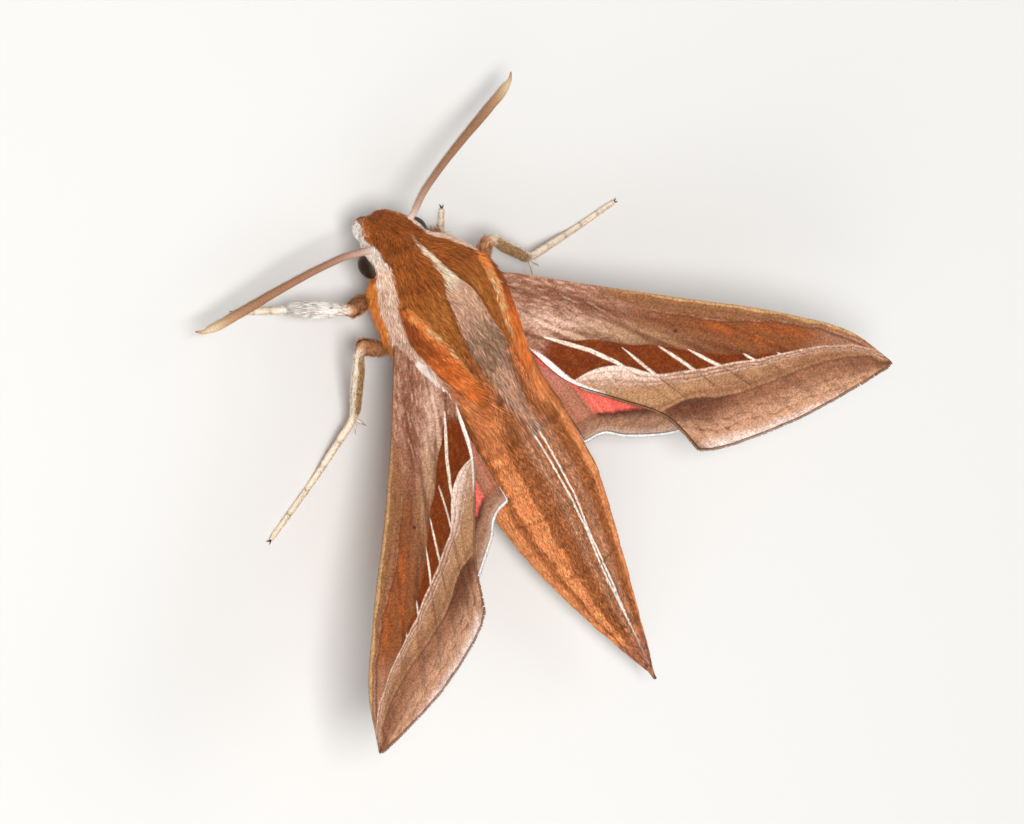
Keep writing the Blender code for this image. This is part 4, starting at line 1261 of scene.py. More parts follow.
@dataclass(frozen=True)
class Leg:
    """A scaled leg: thigh, shin with spurs, five-jointed foot and two claws.

    The root is y and degrees on the thorax, the knees are in the body frame, and the feet are
    on the ground: x, and y from under the body frame's origin. The place along the leg is
    counted in joints: the thigh ends at 2, the shin at 3 and the foot at 5.
    """

    name: str
    seed: int
    root: tuple[float, float]
    knees: tuple[tuple[float, float, float], ...]
    feet: tuple[tuple[float, float], ...]
    shin_swell: float
    tufts: int = 2600
    shin_hair: float = 0.35
    thigh: Colour = (0.560, 0.270, 0.130)
    cream: Colour = (0.86, 0.71, 0.55)
    stripe: Colour = (0.460, 0.270, 0.125)
    white: Colour = (0.97, 0.86, 0.78)
    ringed: Colour = (0.34, 0.19, 0.09)
    spur: Colour = (0.86, 0.74, 0.60)
    claw: Colour = (0.10, 0.04, 0.02)

    def joints(self, form: BodyForm) -> Array:
        """The joints from just inside the thorax to the toe."""
        y, degrees = self.root
        place, outward, _, _ = form.frames(np.array([y]), np.array([np.radians(degrees)]))
        feet = np.array([(x, foot_y - AXIS_FORWARD, LEG_SINK * radius)
                         for (x, foot_y), radius in zip(self.feet, LEG_RADII[-2:])])
        hips = place - outward * LEG_ROOT, place + outward * LEG_HIP
        return np.concatenate((*hips, np.array(self.knees), from_world(feet)))

    def route(self, form: BodyForm) -> Array:
        """Centre line with radii and the place along the leg."""
        points, radii = self.joints(form), np.array(LEG_RADII)
        swell = (0.0, 0.34, self.shin_swell, 0.05, 0.0)
        rows = []
        for number in range(len(points) - 1):
            here, there = points[number], points[number + 1]
            for share in (0.08, 0.3, 0.5, 0.7, 0.92):
                bulge = 1.0 + swell[number] * math.sin(math.pi * share)
                radius = (radii[number] * (1 - share) + radii[number + 1] * share) * bulge
                rows.append((*(here * (1 - share) + there * share), radius, number + share))
        rows[0] = (*points[0], radii[0], 0.0)
        rows[-1] = (*points[-1], radii[-1], 5.0)
        return smooth_route(np.array(rows), 220)

    def build(self, form: BodyForm, finish: bpy.types.Material) -> None:
        """Make the leg with its scales, spurs and claws in one piece.

        Args:
            form: the body it grows from.
            finish: its material.
        """
        route = self.route(form)
        centres, radii, along = route[:, :3], route[:, 3] * 0.86, route[:, 4]
        foot = ramp(along, 2.9, 3.1)
        saw = self.foot_ring(along)
        radii = radii * (1.0 + foot * (0.16 * saw - 0.22 * ramp(saw, 0.84, 1.0)))
        points = self.joints(form)
        plane = unit(np.cross(points[2] - points[1], points[3] - points[2]))
        rings = tube_rings(centres, radii, 16, plane, 1.0 - 0.2 * ramp(along, 1.9, 2.1))
        share = np.linspace(0.0, 2 * math.pi, 16, endpoint=False)
        tint = self.tint(along[:, None], share[None, :])
        leg = join_shapes([tube_shape(rings, tint, FIRST_HALF), self.scales(route, plane), self.ends(points)])
        leg.points = self.above_ground(leg.points)
        piece = leg.build(self.name + "_scaled", finish, Slot.LEG)
        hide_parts(self.name)

    def above_ground(self, points: Array) -> Array:
        """Keep every point on or above the ground."""
        world = to_world(points) / MILLIMETRE
        world[:, 2] = np.maximum(world[:, 2], 0.0)
        return from_world(world)

    def tint(self, along: Array, turn: Array) -> Array:
        """Orange-brown thigh, cream shin with a tan stripe, and cream foot ringed with brown."""
        along, turn = np.broadcast_arrays(along, turn)
        colour = lay(plain(self.thigh, along.shape), self.cream, ramp(along, 1.9, 2.15))
        inner = -1.0 if self.name.endswith("left") else 1.0
        stripe = ramp(inner * np.sin(turn), 0.30, 0.50) * ramp(along, 2.0, 2.2) * ramp(-along, -3.0, -2.85)
        colour = lay(colour, self.stripe, stripe)
        if self.name == "foreleg_left":
            colour = lay(colour, self.white, ramp(along, 2.0, 2.2) * ramp(-along, -3.3, -3.0))
        ring = ramp(self.foot_ring(along), 0.8, 1.0) * ramp(along, 3.0, 3.1)
        return lay(colour, self.ringed, ring * 0.35)

    def foot_ring(self, along: Array) -> Array:
        """How far a place is along its ring of the foot, which has five, from 0 to 1."""
        return np.mod(np.clip(along - 3.0, 0.0, 2.0) * 2.5, 1.0)

    def scales(self, route: Array, plane: Array) -> Shape:
        """Flat scales along the leg, long on the thigh and shin."""
        count = self.tufts
        draw = np.random.default_rng(self.seed)
        at = draw.uniform(0.02, 0.985, count)
        key = np.linspace(0.0, 1.0, len(route))
        read = read_columns(at, key, route)
        forward = unit(read_columns(at, key, np.gradient(route[:, :3], axis=0)))
        across = unit(np.cross(forward, plane))
        up = np.cross(forward, across)
        turn = draw.uniform(0.0, 2 * math.pi, count)
        outward = across * np.cos(turn)[:, None] + up * np.sin(turn)[:, None]
        place = read[:, :3] + outward * (read[:, 3] * 0.84)[:, None]
        along = read[:, 4]
        thigh = ramp(-along, -2.0, -1.8)
        shin = ramp(along, 2.0, 2.2) * ramp(-along, -3.0, -2.8)
        length = 0.16 + 0.55 * thigh + self.shin_hair * shin
        roots = Roots(place, outward, forward, half_map(at, 0.02 + 0.95 * turn / (2 * math.pi)))
        tint = self.tint(along, turn) * draw.normal(1.0, 0.12, count)[:, None]
        lift = draw.uniform(0.05, 0.14, count) + 0.35 * thigh * draw.random(count)
        return tuft_shape(roots, length * draw.uniform(0.7, 1.2, count), 0.065, lift, 0.1, tint)

    def ends(self, points: Array) -> Shape:
        """Two spurs at the end of the shin, mere scales on a foreleg, and two claws at the toe."""
        shin = unit(points[3] - points[2])
        toe = unit(points[5] - points[4])
        side_shin = unit(np.cross(shin, (0.0, 0.0, 1.0)))
        side_toe = unit(np.cross(toe, (0.0, 0.0, 1.0)))
        spurs = 0.2 if self.name.startswith("foreleg") else 1.5
        inner = side_shin if self.name.endswith("right") else -side_shin
        place = np.stack((points[3], points[3], points[5], points[5]))
        lie = np.stack((
            shin * 0.7 + 0.75 * inner,
            shin + 0.15 * inner,
            toe + 0.5 * side_toe,
            toe - 0.5 * side_toe,
        ))
        normal = np.tile(np.cross(side_toe, toe), (4, 1))
        normal = unit(normal - lie * (np.sum(normal * lie, axis=1) / np.sum(lie * lie, axis=1))[:, None])
        spots = np.array(((0.90, 0.1), (0.90, 0.2), (0.90, 0.3), (0.90, 0.4)))
        length = np.array((spurs, spurs, 0.42, 0.42))
        width = np.array((0.24, 0.24, 0.12, 0.12))
        droop = np.array((0.1, 0.1, 0.5, 0.5))
        tint = np.array((self.spur, self.spur, self.claw, self.claw))
        return tuft_shape(Roots(place, normal, lie, spots), length, width, 0.05, droop, tint)


LEGS = (
    Leg("foreleg_left", 71, (-2.2, 138.0), ((5.55, -3.3, -1.5), (8.5, -5.2, -4.0)),
        ((10.2, -6.45), (11.0, -6.87)), 0.75, tufts=3400, shin_hair=0.85),
    Leg("foreleg_right", 72, (-2.2, -138.0), ((-3.6, -3.4, -4.2), (-4.3, -1.2, -5.5)),
        ((-5.2, -2.86), (-6.1, -4.06)), 0.4),
    Leg("midleg_left", 73, (1.0, 132.0), ((6.4, -0.9, -1.2), (8.3, 3.9, -4.0)),
        ((12.4, 5.96), (17.4, 7.56)), 0.35),
    Leg("midleg_right", 74, (1.0, -132.0), ((-6.0, -1.5, -1.6), (-8.9, 2.2, -4.0)),
        ((-13.6, 2.75), (-17.4, 2.9)), 0.35),
    Leg("hindleg_left", 75, (5.0, 133.0), ((5.8, 7.2, -2.2), (7.2, 11.2, -4.6)),
        ((7.7, 12.8), (8.3, 15.2)), 0.3),
    Leg("hindleg_right", 76, (5.0, -133.0), ((-5.8, 7.2, -2.2), (-7.2, 11.2, -4.6)),
        ((-7.7, 12.8), (-8.3, 15.2)), 0.3),
)


# Vein routes in plan, from the root to the margin. A root's x is set in from the thorax.
FOREWING_VEINS = (
    ((3.7, -0.60), (5.75, 1.10), (8.5, 3.60), (13.0, 7.6), (18.9, 12.85), (22.2, 16.6), (23.6, 19.9)),
    ((3.8, 0.3), (9.5, 5.6), (15.5, 11.2), (20.3, 16.1), (23.1, 20.05)),
    ((3.8, 1.0), (9.2, 6.5), (14.8, 12.0), (18.8, 16.3), (21.4, 20.05)),
    ((3.7, 1.7), (8.8, 7.0), (13.6, 11.9), (15.7, 14.5), (19.0, 20.0)),
    ((3.6, 2.4), (8.4, 7.4), (12.06, 10.96), (13.7, 14.1), (16.6, 19.9)),
    ((3.5, 3.0), (7.8, 7.5), (10.57, 9.8), (11.9, 13.1), (14.3, 19.6)),
    ((3.4, 3.6), (6.7, 7.3), (8.54, 9.4), (9.9, 12.5), (12.1, 19.2)),
    ((3.3, 4.3), (5.4, 7.4), (8.4, 11.7), (9.8, 14.7), (10.8, 18.8)),
    ((3.2, 5.1), (4.4, 9.0), (6.5, 11.7), (8.9, 14.8), (10.0, 18.35)),
)
HINDWING_VEINS = (
    ((3.7, 4.2), (7.5, 5.6), (11.8, 9.0), (14.5, 12.0), (15.2, 14.0)),
    ((3.6, 4.7), (8.0, 7.4), (11.9, 11.2), (14.3, 15.3)),
    ((3.5, 5.2), (7.5, 8.2), (10.4, 11.8), (12.0, 16.2)),
    ((3.4, 5.7), (6.6, 8.6), (8.6, 12.2), (9.4, 16.4)),
    ((3.3, 6.2), (5.6, 9.0), (6.5, 12.0), (6.5, 14.85)),
    ((3.15, 6.5), (4.6, 9.0), (5.05, 11.6), (5.15, 13.7)),
    ((3.0, 6.7), (3.55, 8.8), (3.6, 11.2), (3.65, 13.45)),
)

# A wing's middle surface over plan place (x, y): level, slopes, arch, twist and arch
FOREWING_SURFACE = (-1.52, 0.365, 0.346, -0.0147, 0.0273, -0.0267)
HINDWING_SURFACE = (-2.38, 0.272, 0.340, 0.0113, -0.0117, -0.0092)

# Lines of the forewing pattern as rows of u, along the wing from its root, and v, towards
# its hind edge
COSTA_EDGE = np.array((
    (-1.0, -0.2), (0.3, -0.33), (3.9, -0.55), (8.2, -0.72), (12.5, -1.07), (17.9, -1.45), (20.7, -1.43),
    (23.7, -1.07), (26.2, 0.0),
))
SUBCOSTA = np.array((
    (-1.0, 0.3), (2.3, -0.08), (8.3, 0.07), (13.2, -0.22), (18.0, -1.1), (21.7, -1.2), (24.1, -0.8),
    (26.0, -0.08),
))
TRIANGLE_TOP = np.array((
    (2.2, 3.75), (3.1, 3.59), (5.2, 3.13), (6.7, 2.93), (9.8, 2.5), (12.3, 2.3), (15.1, 1.94), (17.7, 1.22),
    (20.2, 0.33), (23.0, -0.5),
))
TRIANGLE_FOOT = np.array((
    (2.2, 6.9), (5.2, 6.2), (6.0, 5.32), (7.4, 4.5), (8.6, 4.33), (10.6, 4.36), (12.0, 3.84), (13.6, 3.2),
    (15.2, 2.46), (16.9, 1.81), (18.5, 1.02), (20.2, 0.28), (23.0, -0.6),
))
ROSE_END = np.array((
    (2.2, 7.2), (5.7, 6.5), (8.0, 6.18), (10.9, 5.14), (12.3, 4.62), (13.9, 3.97), (15.5, 3.15),
    (17.1, 2.42), (18.7, 1.59), (20.3, 0.68), (23.0, -0.09), (26.0, -0.1),
))
DARK_LINE = np.array((
    (9.0, 7.6), (12.0, 6.57), (12.8, 5.82), (15.2, 4.9), (16.8, 4.08), (18.3, 3.08), (19.8, 2.0),
    (21.4, 1.0), (24.0, 0.05), (26.0, 0.0),
))
OUTER_EDGE = np.array((
    (15.4, 8.75), (16.0, 8.72), (17.7, 8.03), (20.6, 6.14), (22.7, 4.35), (24.8, 2.3), (26.3, 0.4),
))
INNER_EDGE = np.array((
    (1.6, 4.6), (2.9, 5.03), (5.4, 6.22), (8.2, 6.61), (10.7, 6.97), (12.4, 7.34), (13.8, 7.88),
    (15.4, 8.75),
))
# White streaks: points along each, then its greatest half width
STREAKS = (
    (((2.6, 3.60), (3.0, 3.61), (5.7, 3.8), (7.6, 4.2), (9.5, 4.81)), 0.135),
    (((7.7, 3.15), (9.5, 4.04), (10.9, 4.67), (14.0, 5.93)), 0.085),
    (((10.0, 2.51), (11.8, 3.15), (12.8, 3.56), (14.6, 4.29)), 0.09),
    (((12.0, 2.28), (13.5, 2.68), (15.1, 3.06), (17.0, 3.74)), 0.10),
    (((15.7, 1.72), (16.2, 1.88), (17.2, 2.12)), 0.07),
    (((18.0, 1.14), (18.6, 1.25)), 0.05),
)
DOT = (10.8, 1.23)

# Rust spots of the front half: u and v of the middle, then half length and half width
RUST_SPOTS = (
    (13.7, 0.35, 1.2, 0.55),
    (15.9, -0.25, 1.3, 0.45),
    (18.3, -0.5, 1.4, 0.40),
    (20.4, -0.5, 1.0, 0.30),
    (16.6, 0.55, 1.2, 0.40),
)

# Where u starts, and the direction of the wing's length in plan
WING_ROOT = (5.35, 1.15)
WING_COURSE = (0.6955, 0.7184)

# The u at which the outer margin meets the hind one
HIND_CORNER = 15.4


def line_at(rows: Array, u: Array) -> Array:
    """Where a line of the pattern lies at u, as v."""
    return smooth_rows(rows, u, level=False)[..., 0]


def near_route(u: Array, v: Array, route: tuple[tuple[float, float], ...]) -> tuple[Array, Array]:
    """Distance of places from a route of straight steps, and the nearest point's share along it.

    Args:
        u: first coordinate of each place.
        v: second coordinate of each place.
        route: corners of the route.

    Returns:
        The distances and the shares.
    """
    best, share_best = np.full(u.shape, 1e9), np.zeros(u.shape)
    corners = np.asarray(route)
    lengths = np.linalg.norm(np.diff(corners, axis=0), axis=1)
    before = np.concatenate(([0.0], np.cumsum(lengths)))
    for number, length in enumerate(lengths):
        (au, av), (bu, bv) = corners[number], corners[number + 1]
        share = np.clip(((u - au) * (bu - au) + (v - av) * (bv - av)) / length ** 2, 0.0, 1.0)
        distance = np.hypot(u - au - share * (bu - au), v - av - share * (bv - av))
        closer = distance < best
        best = np.where(closer, distance, best)
        share_best = np.where(closer, (before[number] + share * length) / before[-1], share_best)
    return best, share_best


@dataclass(frozen=True)
class ForewingMarkings:
    """The pattern of a forewing's upper side."""

    triangle: Colour = (0.165, 0.029, 0.0035)
    triangle_deep: Colour = (0.100, 0.020, 0.005)
    triangle_light: Colour = (0.265, 0.075, 0.018)
    vein_dark: Colour = (0.110, 0.045, 0.025)
    cream: Colour = (0.88, 0.74, 0.60)
    hind_white: Colour = (0.90, 0.82, 0.76)
    hind_brown: Colour = (0.16, 0.07, 0.04)
    dot: Colour = (0.07, 0.02, 0.012)
    cell_ground: Colour = (0.225, 0.070, 0.023)
    root_brown: Colour = (0.400, 0.200, 0.125)
    root_pale: Colour = (0.82, 0.54, 0.40)
    cell_tan: Colour = (0.430, 0.250, 0.135)
    cell_red: Colour = (0.27, 0.075, 0.055)
    cell_brown: Colour = (0.17, 0.055, 0.022)
    rust: Colour = (0.480, 0.110, 0.019)
    streak_dark: Colour = (0.130, 0.038, 0.015)
    hair_pale: Colour = (0.700, 0.450, 0.340)
    hair_dark: Colour = (0.210, 0.065, 0.038)
    tip: Colour = (0.350, 0.165, 0.100)
    costa: Colour = (0.280, 0.115, 0.048)
    costa_line: Colour = (0.200, 0.085, 0.040)
    costa_rim: Colour = (0.520, 0.300, 0.130)
    vein_grey: Colour = (0.400, 0.235, 0.170)
    vein_shadow: Colour = (0.12, 0.045, 0.022)
    rose: Colour = (0.420, 0.215, 0.130)
    rose_pale: Colour = (0.820, 0.610, 0.490)
    rose_tan: Colour = (0.440, 0.240, 0.130)
    rose_line: Colour = (0.200, 0.085, 0.050)
    olive: Colour = (0.430, 0.215, 0.115)
    olive_brown: Colour = (0.270, 0.118, 0.055)
    olive_light: Colour = (0.400, 0.225, 0.090)
    olive_edge: Colour = (0.240, 0.095, 0.040)
    olive_line: Colour = (0.250, 0.110, 0.050)
    field: Colour = (0.170, 0.056, 0.027)
    field_tip: Colour = (0.330, 0.140, 0.072)
    field_light: Colour = (0.570, 0.300, 0.180)
    margin_pale: Colour = (0.930, 0.750, 0.660)
    field_deep: Colour = (0.132, 0.042, 0.019)
    field_end: Colour = (0.230, 0.085, 0.040)
    field_wave: Colour = (0.170, 0.070, 0.040)
    field_mottle: Colour = (0.160, 0.068, 0.040)
    dark_line: Colour = (0.115, 0.045, 0.025)

    def coordinates(self, x: Array, y: Array) -> tuple[Array, Array]:
        """Plan place as u along the wing and v towards its hind edge."""
        along, over = x - WING_ROOT[0], y - WING_ROOT[1]
        cos, sin = WING_COURSE
        return along * cos + over * sin, over * cos - along * sin

    def tint(self, x: Array, y: Array, vein: Array) -> Array:
        """Colour of each place.

        Args:
            x: plan place.
            y: plan place.
            vein: 1 on a vein and 0 between veins.

        Returns:
            The colours.
        """
        u, v = self.coordinates(x, y)
        wobble = 0.05 * waves(u, v, 81, (0.5, 0.5))
        mottle = waves(u, v, 82, (1.2, 2.2), 16)
        streak = waves(u + v * 0.6, v - u * 0.18, 83, (0.12, 1.2), 12)
        costa, subcosta, top, foot, rose, dark = (
            line_at(rows, u)
            for rows in (COSTA_EDGE, SUBCOSTA, TRIANGLE_TOP, TRIANGLE_FOOT, ROSE_END, DARK_LINE))
        colour = self.cell(u, v + wobble, costa, subcosta, top, mottle, streak)
        colour = self.bands(colour, u, v, foot + wobble * 0.4, rose + wobble, dark + wobble, mottle, streak)
        inside = ramp(v - top - wobble, -0.06, 0.10) * ramp(foot - v, -0.035, 0.035) * ramp(u, 2.3, 3.4)
        deep = np.clip(0.35 * streak + 0.5 * ramp(foot - v, 0.4, 0.0), 0.0, 0.7)
        triangle = lay(plain(self.triangle, u.shape), self.triangle_deep, deep)
        triangle = lay(triangle, self.triangle_light, np.clip(0.3 * mottle, 0.0, 0.4))
        colour = lay(colour, triangle, inside)
        colour = lay(colour, self.vein_dark, vein ** 2 * 0.50 * ramp(u, 7.0, 11.0) * (1.0 - inside))
        for route, half in STREAKS:
            distance, share = near_route(u, v, route)
            taper = half * np.sqrt(np.clip(share * 5.0, 0.05, 1.0)) * (1.0 - 0.55 * ramp(share, 0.55, 1.0))
            past = ramp(v - foot, -0.1, 0.35)
            pale = line_mask(distance, taper * (1.0 - 0.5 * past), 0.07) * (1.0 - past)
            colour = lay(colour, self.cream, pale * patchy(0.9, 0.2, mottle))
            colour = lay(colour, self.vein_dark, line_mask(distance, 0.03, 0.06) * past * 0.75)
        inner = line_at(INNER_EDGE, u)
        edge = ramp(v - inner, -0.24, -0.12) * ramp(-u, -8.4, -6.6)
        colour = lay(colour, self.hind_white, edge * ramp(u, 1.5, 2.5))
        hind = ramp(v - inner, -0.35, -0.1) * ramp(u, 7.0, 9.0)
        colour = lay(colour, self.hind_brown, hind * 0.7)
        speck = waves(u, v, 86, (2.4, 3.2), 24)
        colour = colour * (1.0 + 0.13 * speck * (1.0 - 0.5 * inside))[..., None]
        distance = np.hypot(u - DOT[0], v - DOT[1])
        return lay(colour, self.dot, 0.9 * (1.0 - ramp(distance, 0.10, 0.2)))

    def cell(self, u: Array, v: Array, costa: Array, subcosta: Array, top: Array, mottle: Array,
             streak: Array) -> Array:
        """Colour between the front edge and the dark triangle."""
        colour = plain(self.cell_ground, u.shape)
        colour = lay(colour, self.root_brown, ramp(-u, -11.0, -5.0) * patchy(0.85, 0.3, mottle))
        pale = np.exp(-((u - 3.2) / 3.5) ** 2 - ((v - 2.65) / 0.78) ** 2)
        colour = lay(colour, self.root_pale, 0.97 * pale)
        tan = bell(u, 7.5, 4.5) * bell(v - top, -0.5, 0.70)
        colour = lay(colour, self.cell_tan, 0.75 * tan)
        reddish = bell(u, 4.0, 2.6) * bell(v, 0.6, 0.8)
        colour = lay(colour, self.cell_red, reddish * patchy(0.35, 0.5, mottle, 0.7))
        brown = bell(u, 5.2, 4.2) * bell(v, 0.80, 0.42)
        colour = lay(colour, self.cell_brown, brown * patchy(0.75, 0.3, mottle))
        rust = np.zeros_like(u)
        for spot_u, spot_v, long, wide in RUST_SPOTS:
            rust = np.maximum(rust, np.exp(-((u - spot_u) / long) ** 2 - ((v - spot_v) / wide) ** 2))
        colour = lay(colour, self.rust, rust * np.clip(0.55 + 0.55 * streak + 0.25 * mottle, 0.0, 1.0))
        colour = lay(colour, self.streak_dark, patchy(0.06, 0.50, streak, 0.7))
        near = ramp(-u, -9.0, -3.0)
        hair = waves(u + 0.25 * v, v - 0.12 * u, 84, (0.55, 2.6), 22)
        colour = layers(
            colour,
            (self.hair_pale, np.clip(0.26 * hair + 0.16 * mottle, 0.0, 0.5) * near),
            (self.hair_dark, np.clip(-0.30 * hair - 0.22 * mottle, 0.0, 0.5) * near),
            (self.tip, ramp(u, 19.0, 22.0) * 0.85),
        )
        rim = v - costa
        colour = lay(colour, self.costa, ramp(subcosta - v, -0.08, 0.12) * ramp(u, 4.0, 8.0))
        colour = lay(colour, self.costa_line, line_mask(rim - 0.42, 0.10, 0.12) * ramp(u, 6.0, 10.0) * 0.7)
        edge = (1.0 - ramp(rim, -0.02, 0.10)) * (0.25 + 0.75 * ramp(u, 5.0, 11.0))
        colour = lay(colour, self.costa_rim, edge)
        grey = line_mask(v - subcosta - 0.06, 0.05, 0.10) * ramp(u, 6.5, 9.5)
        colour = lay(colour, self.vein_grey, grey * patchy(0.28, 0.35, mottle, 0.7))
        shadow = line_mask(v - subcosta - 0.22, 0.05, 0.1) * ramp(u, 8.0, 11.0)
        return lay(colour, self.vein_shadow, shadow * 0.6)

    def bands(self, colour: Array, u: Array, v: Array, foot: Array, rose: Array, dark: Array, mottle: Array,
              streak: Array) -> Array:
        """Lay the rose band with its fine lines, the olive band, the dark line and the outer field."""
        width = np.maximum(rose - foot, 0.15)
        share = np.clip((v - foot) / width, 0.0, 1.0)
        broad = ramp(-u, -12.5, -9.0)
        band = plain(self.rose, u.shape)
        band = lay(band, self.rose_pale, broad * (1.0 - 0.85 * ramp(share, 0.12, 0.75)))
        band = lay(band, self.rose_tan, ramp(share, 0.55, 1.0) * 0.7)
        for level, strength in ((0.0, 0.95), (0.33, 0.55), (0.66, 0.35)):
            line = line_mask((share - level) * width - 0.08 - 0.04 * mottle, 0.045, 0.07)
            band = lay(band, self.rose_pale, line * patchy(0.8, 0.35, mottle) * strength
                       * (1.0 - 0.55 * ramp(u, 17.0, 23.0)))
        for level, strength in ((0.18, 0.85), (0.52, 0.75), (0.84, 0.5)):
            line = line_mask((share - level) * width - 0.09 - 0.03 * mottle, 0.04, 0.06)
            band = lay(band, self.rose_line, line * patchy(0.8, 0.35, mottle) * strength
                       * (1.0 - 0.30 * broad))
        field = layers(
            plain(self.olive, u.shape),
            (self.olive_brown, ramp(u, 12.0, 16.0) * patchy(0.42, 0.30, streak, 0.8)),
            (self.olive_light, patchy(0.4, 0.5, mottle) * ramp(-u, -18.0, -9.0)),
            (self.olive_edge, line_mask(v - dark + 0.38, 0.16, 0.5) * 0.75),
        )
        middle = line_mask(v - (rose + dark) / 2, 0.04, 0.3) * ramp(u, 12.0, 15.0)
        field = lay(field, self.olive_line, middle * 0.5)
        beside = line_at(INNER_EDGE, u) + np.maximum(0.0, HIND_CORNER - u) * 0.35 + 0.3
        margin = np.where(u > HIND_CORNER, line_at(OUTER_EDGE, u), beside)
        room = np.maximum(margin - dark, 0.4)
        depth = np.clip((v - dark) / room, 0.0, 1.0)
        beyond = layers(
            plain(self.field, u.shape),
            (self.field_tip, ramp(u, 14.0, 17.0) * 0.8),
            (self.field_light, ramp(depth, 0.12, 0.58) * 0.95),
            (self.margin_pale, ramp(depth, 0.66, 0.92) * ramp(u, 15.0, 16.5) * patchy(0.88, 0.25, mottle)),
            (self.field_deep, ramp(-u, -17.5, -13.5) * ramp(-depth, -0.80, -0.25) * 0.9),
            (self.field_end, ramp(u, 21.5, 24.5) * ramp(-depth, -0.62, -0.25) * 0.5),
        )
        drift = 0.035 * waves(u, v, 85, (0.35, 0.35), 6)
        for level in (0.20, 0.40, 0.60):
            line = line_mask((depth - level - drift) * room, 0.07, 0.2)
            beyond = lay(beyond, self.field_wave, line * patchy(0.5, 0.3, mottle, 0.9))
        beyond = lay(beyond, self.field_mottle, np.clip(0.30 * streak + 0.22 * mottle, 0.0, 0.5))
        start = ramp(u, 2.0, 3.0)[..., None]
        colour = colour + (band - colour) * ramp(v - foot, -0.03, 0.03)[..., None] * start
        colour = lay(colour, field, ramp(v - rose, -0.12, 0.16))
        colour = lay(colour, beyond, ramp(v - dark, -0.08, 0.08) * ramp(u, 11.0, 12.6))
        wide = 0.10 + 0.16 * ramp(-u, -17.0, -12.5)
        line = line_mask(v - dark - wide, wide, 0.16) * ramp(u, 11.5, 13.0)
        return lay(colour, self.dark_line, line * (0.85 - 0.35 * ramp(u, 14.5, 17.5)))


@dataclass(frozen=True)
class HindwingMarkings:
    """The pattern of a hindwing's upper side, over the share of the way to its margin."""

    red: Colour = (0.800, 0.115, 0.085)
    red_light: Colour = (0.86, 0.21, 0.15)
    fold_brown: Colour = (0.420, 0.180, 0.105)
    fold_dark: Colour = (0.240, 0.085, 0.045)
    fold_red: Colour = (0.780, 0.260, 0.200)
    band_edge: Colour = (0.100, 0.030, 0.018)
    band: Colour = (0.370, 0.185, 0.105)
    band_dark: Colour = (0.200, 0.100, 0.066)
    band_pale: Colour = (0.520, 0.360, 0.280)

    def tint(self, x: Array, y: Array, share: Array, across: Array) -> Array:
        """Colour of each place.

        Args:
            x: plan place.
            y: plan place.
            share: 0 at the root and 1 at the margin.
            across: 0 at the front edge and 1 at the hind edge.

        Returns:
            The colours.
        """
        mottle = waves(x, y, 91, (1.2, 1.2), 14)
        streak = waves(across * 10.0, share, 92, (1.0, 0.3), 8)
        colour = plain(self.red, x.shape)
        colour = lay(colour, self.red_light, patchy(0.3, 0.4, streak))
        fold = ramp(across, 0.80, 0.86)
        crease = waves(across * 40.0, share, 93, (0.5, 0.4), 10)
        colour = layers(
            colour,
            (self.fold_brown, fold * patchy(0.85, 0.3, streak)),
            (self.fold_dark, fold * patchy(0.15, 0.35, crease, 0.6)),
            (self.fold_red, fold * ramp(-share, -0.60, -0.30) * 0.45),
        )
        level = 0.806 + 0.006 * streak
        colour = lay(colour, self.band_edge, ramp(share, level - 0.02, level + 0.02) * (1.0 - 0.6 * fold))
        outer = plain(self.band, x.shape)
        outer = lay(outer, self.band_dark, patchy(0.25, 0.35, mottle, 0.8))
        outer = lay(outer, self.band_pale, ramp(share, 0.93, 0.99) * 0.6)
        return lay(colour, outer, ramp(share, level + 0.01, level + 0.10))


class WingKind(Enum):
    """The two kinds of wing, as the frame's nodes write them."""

    FOREWING = "forewing"
    HINDWING = "hindwing"


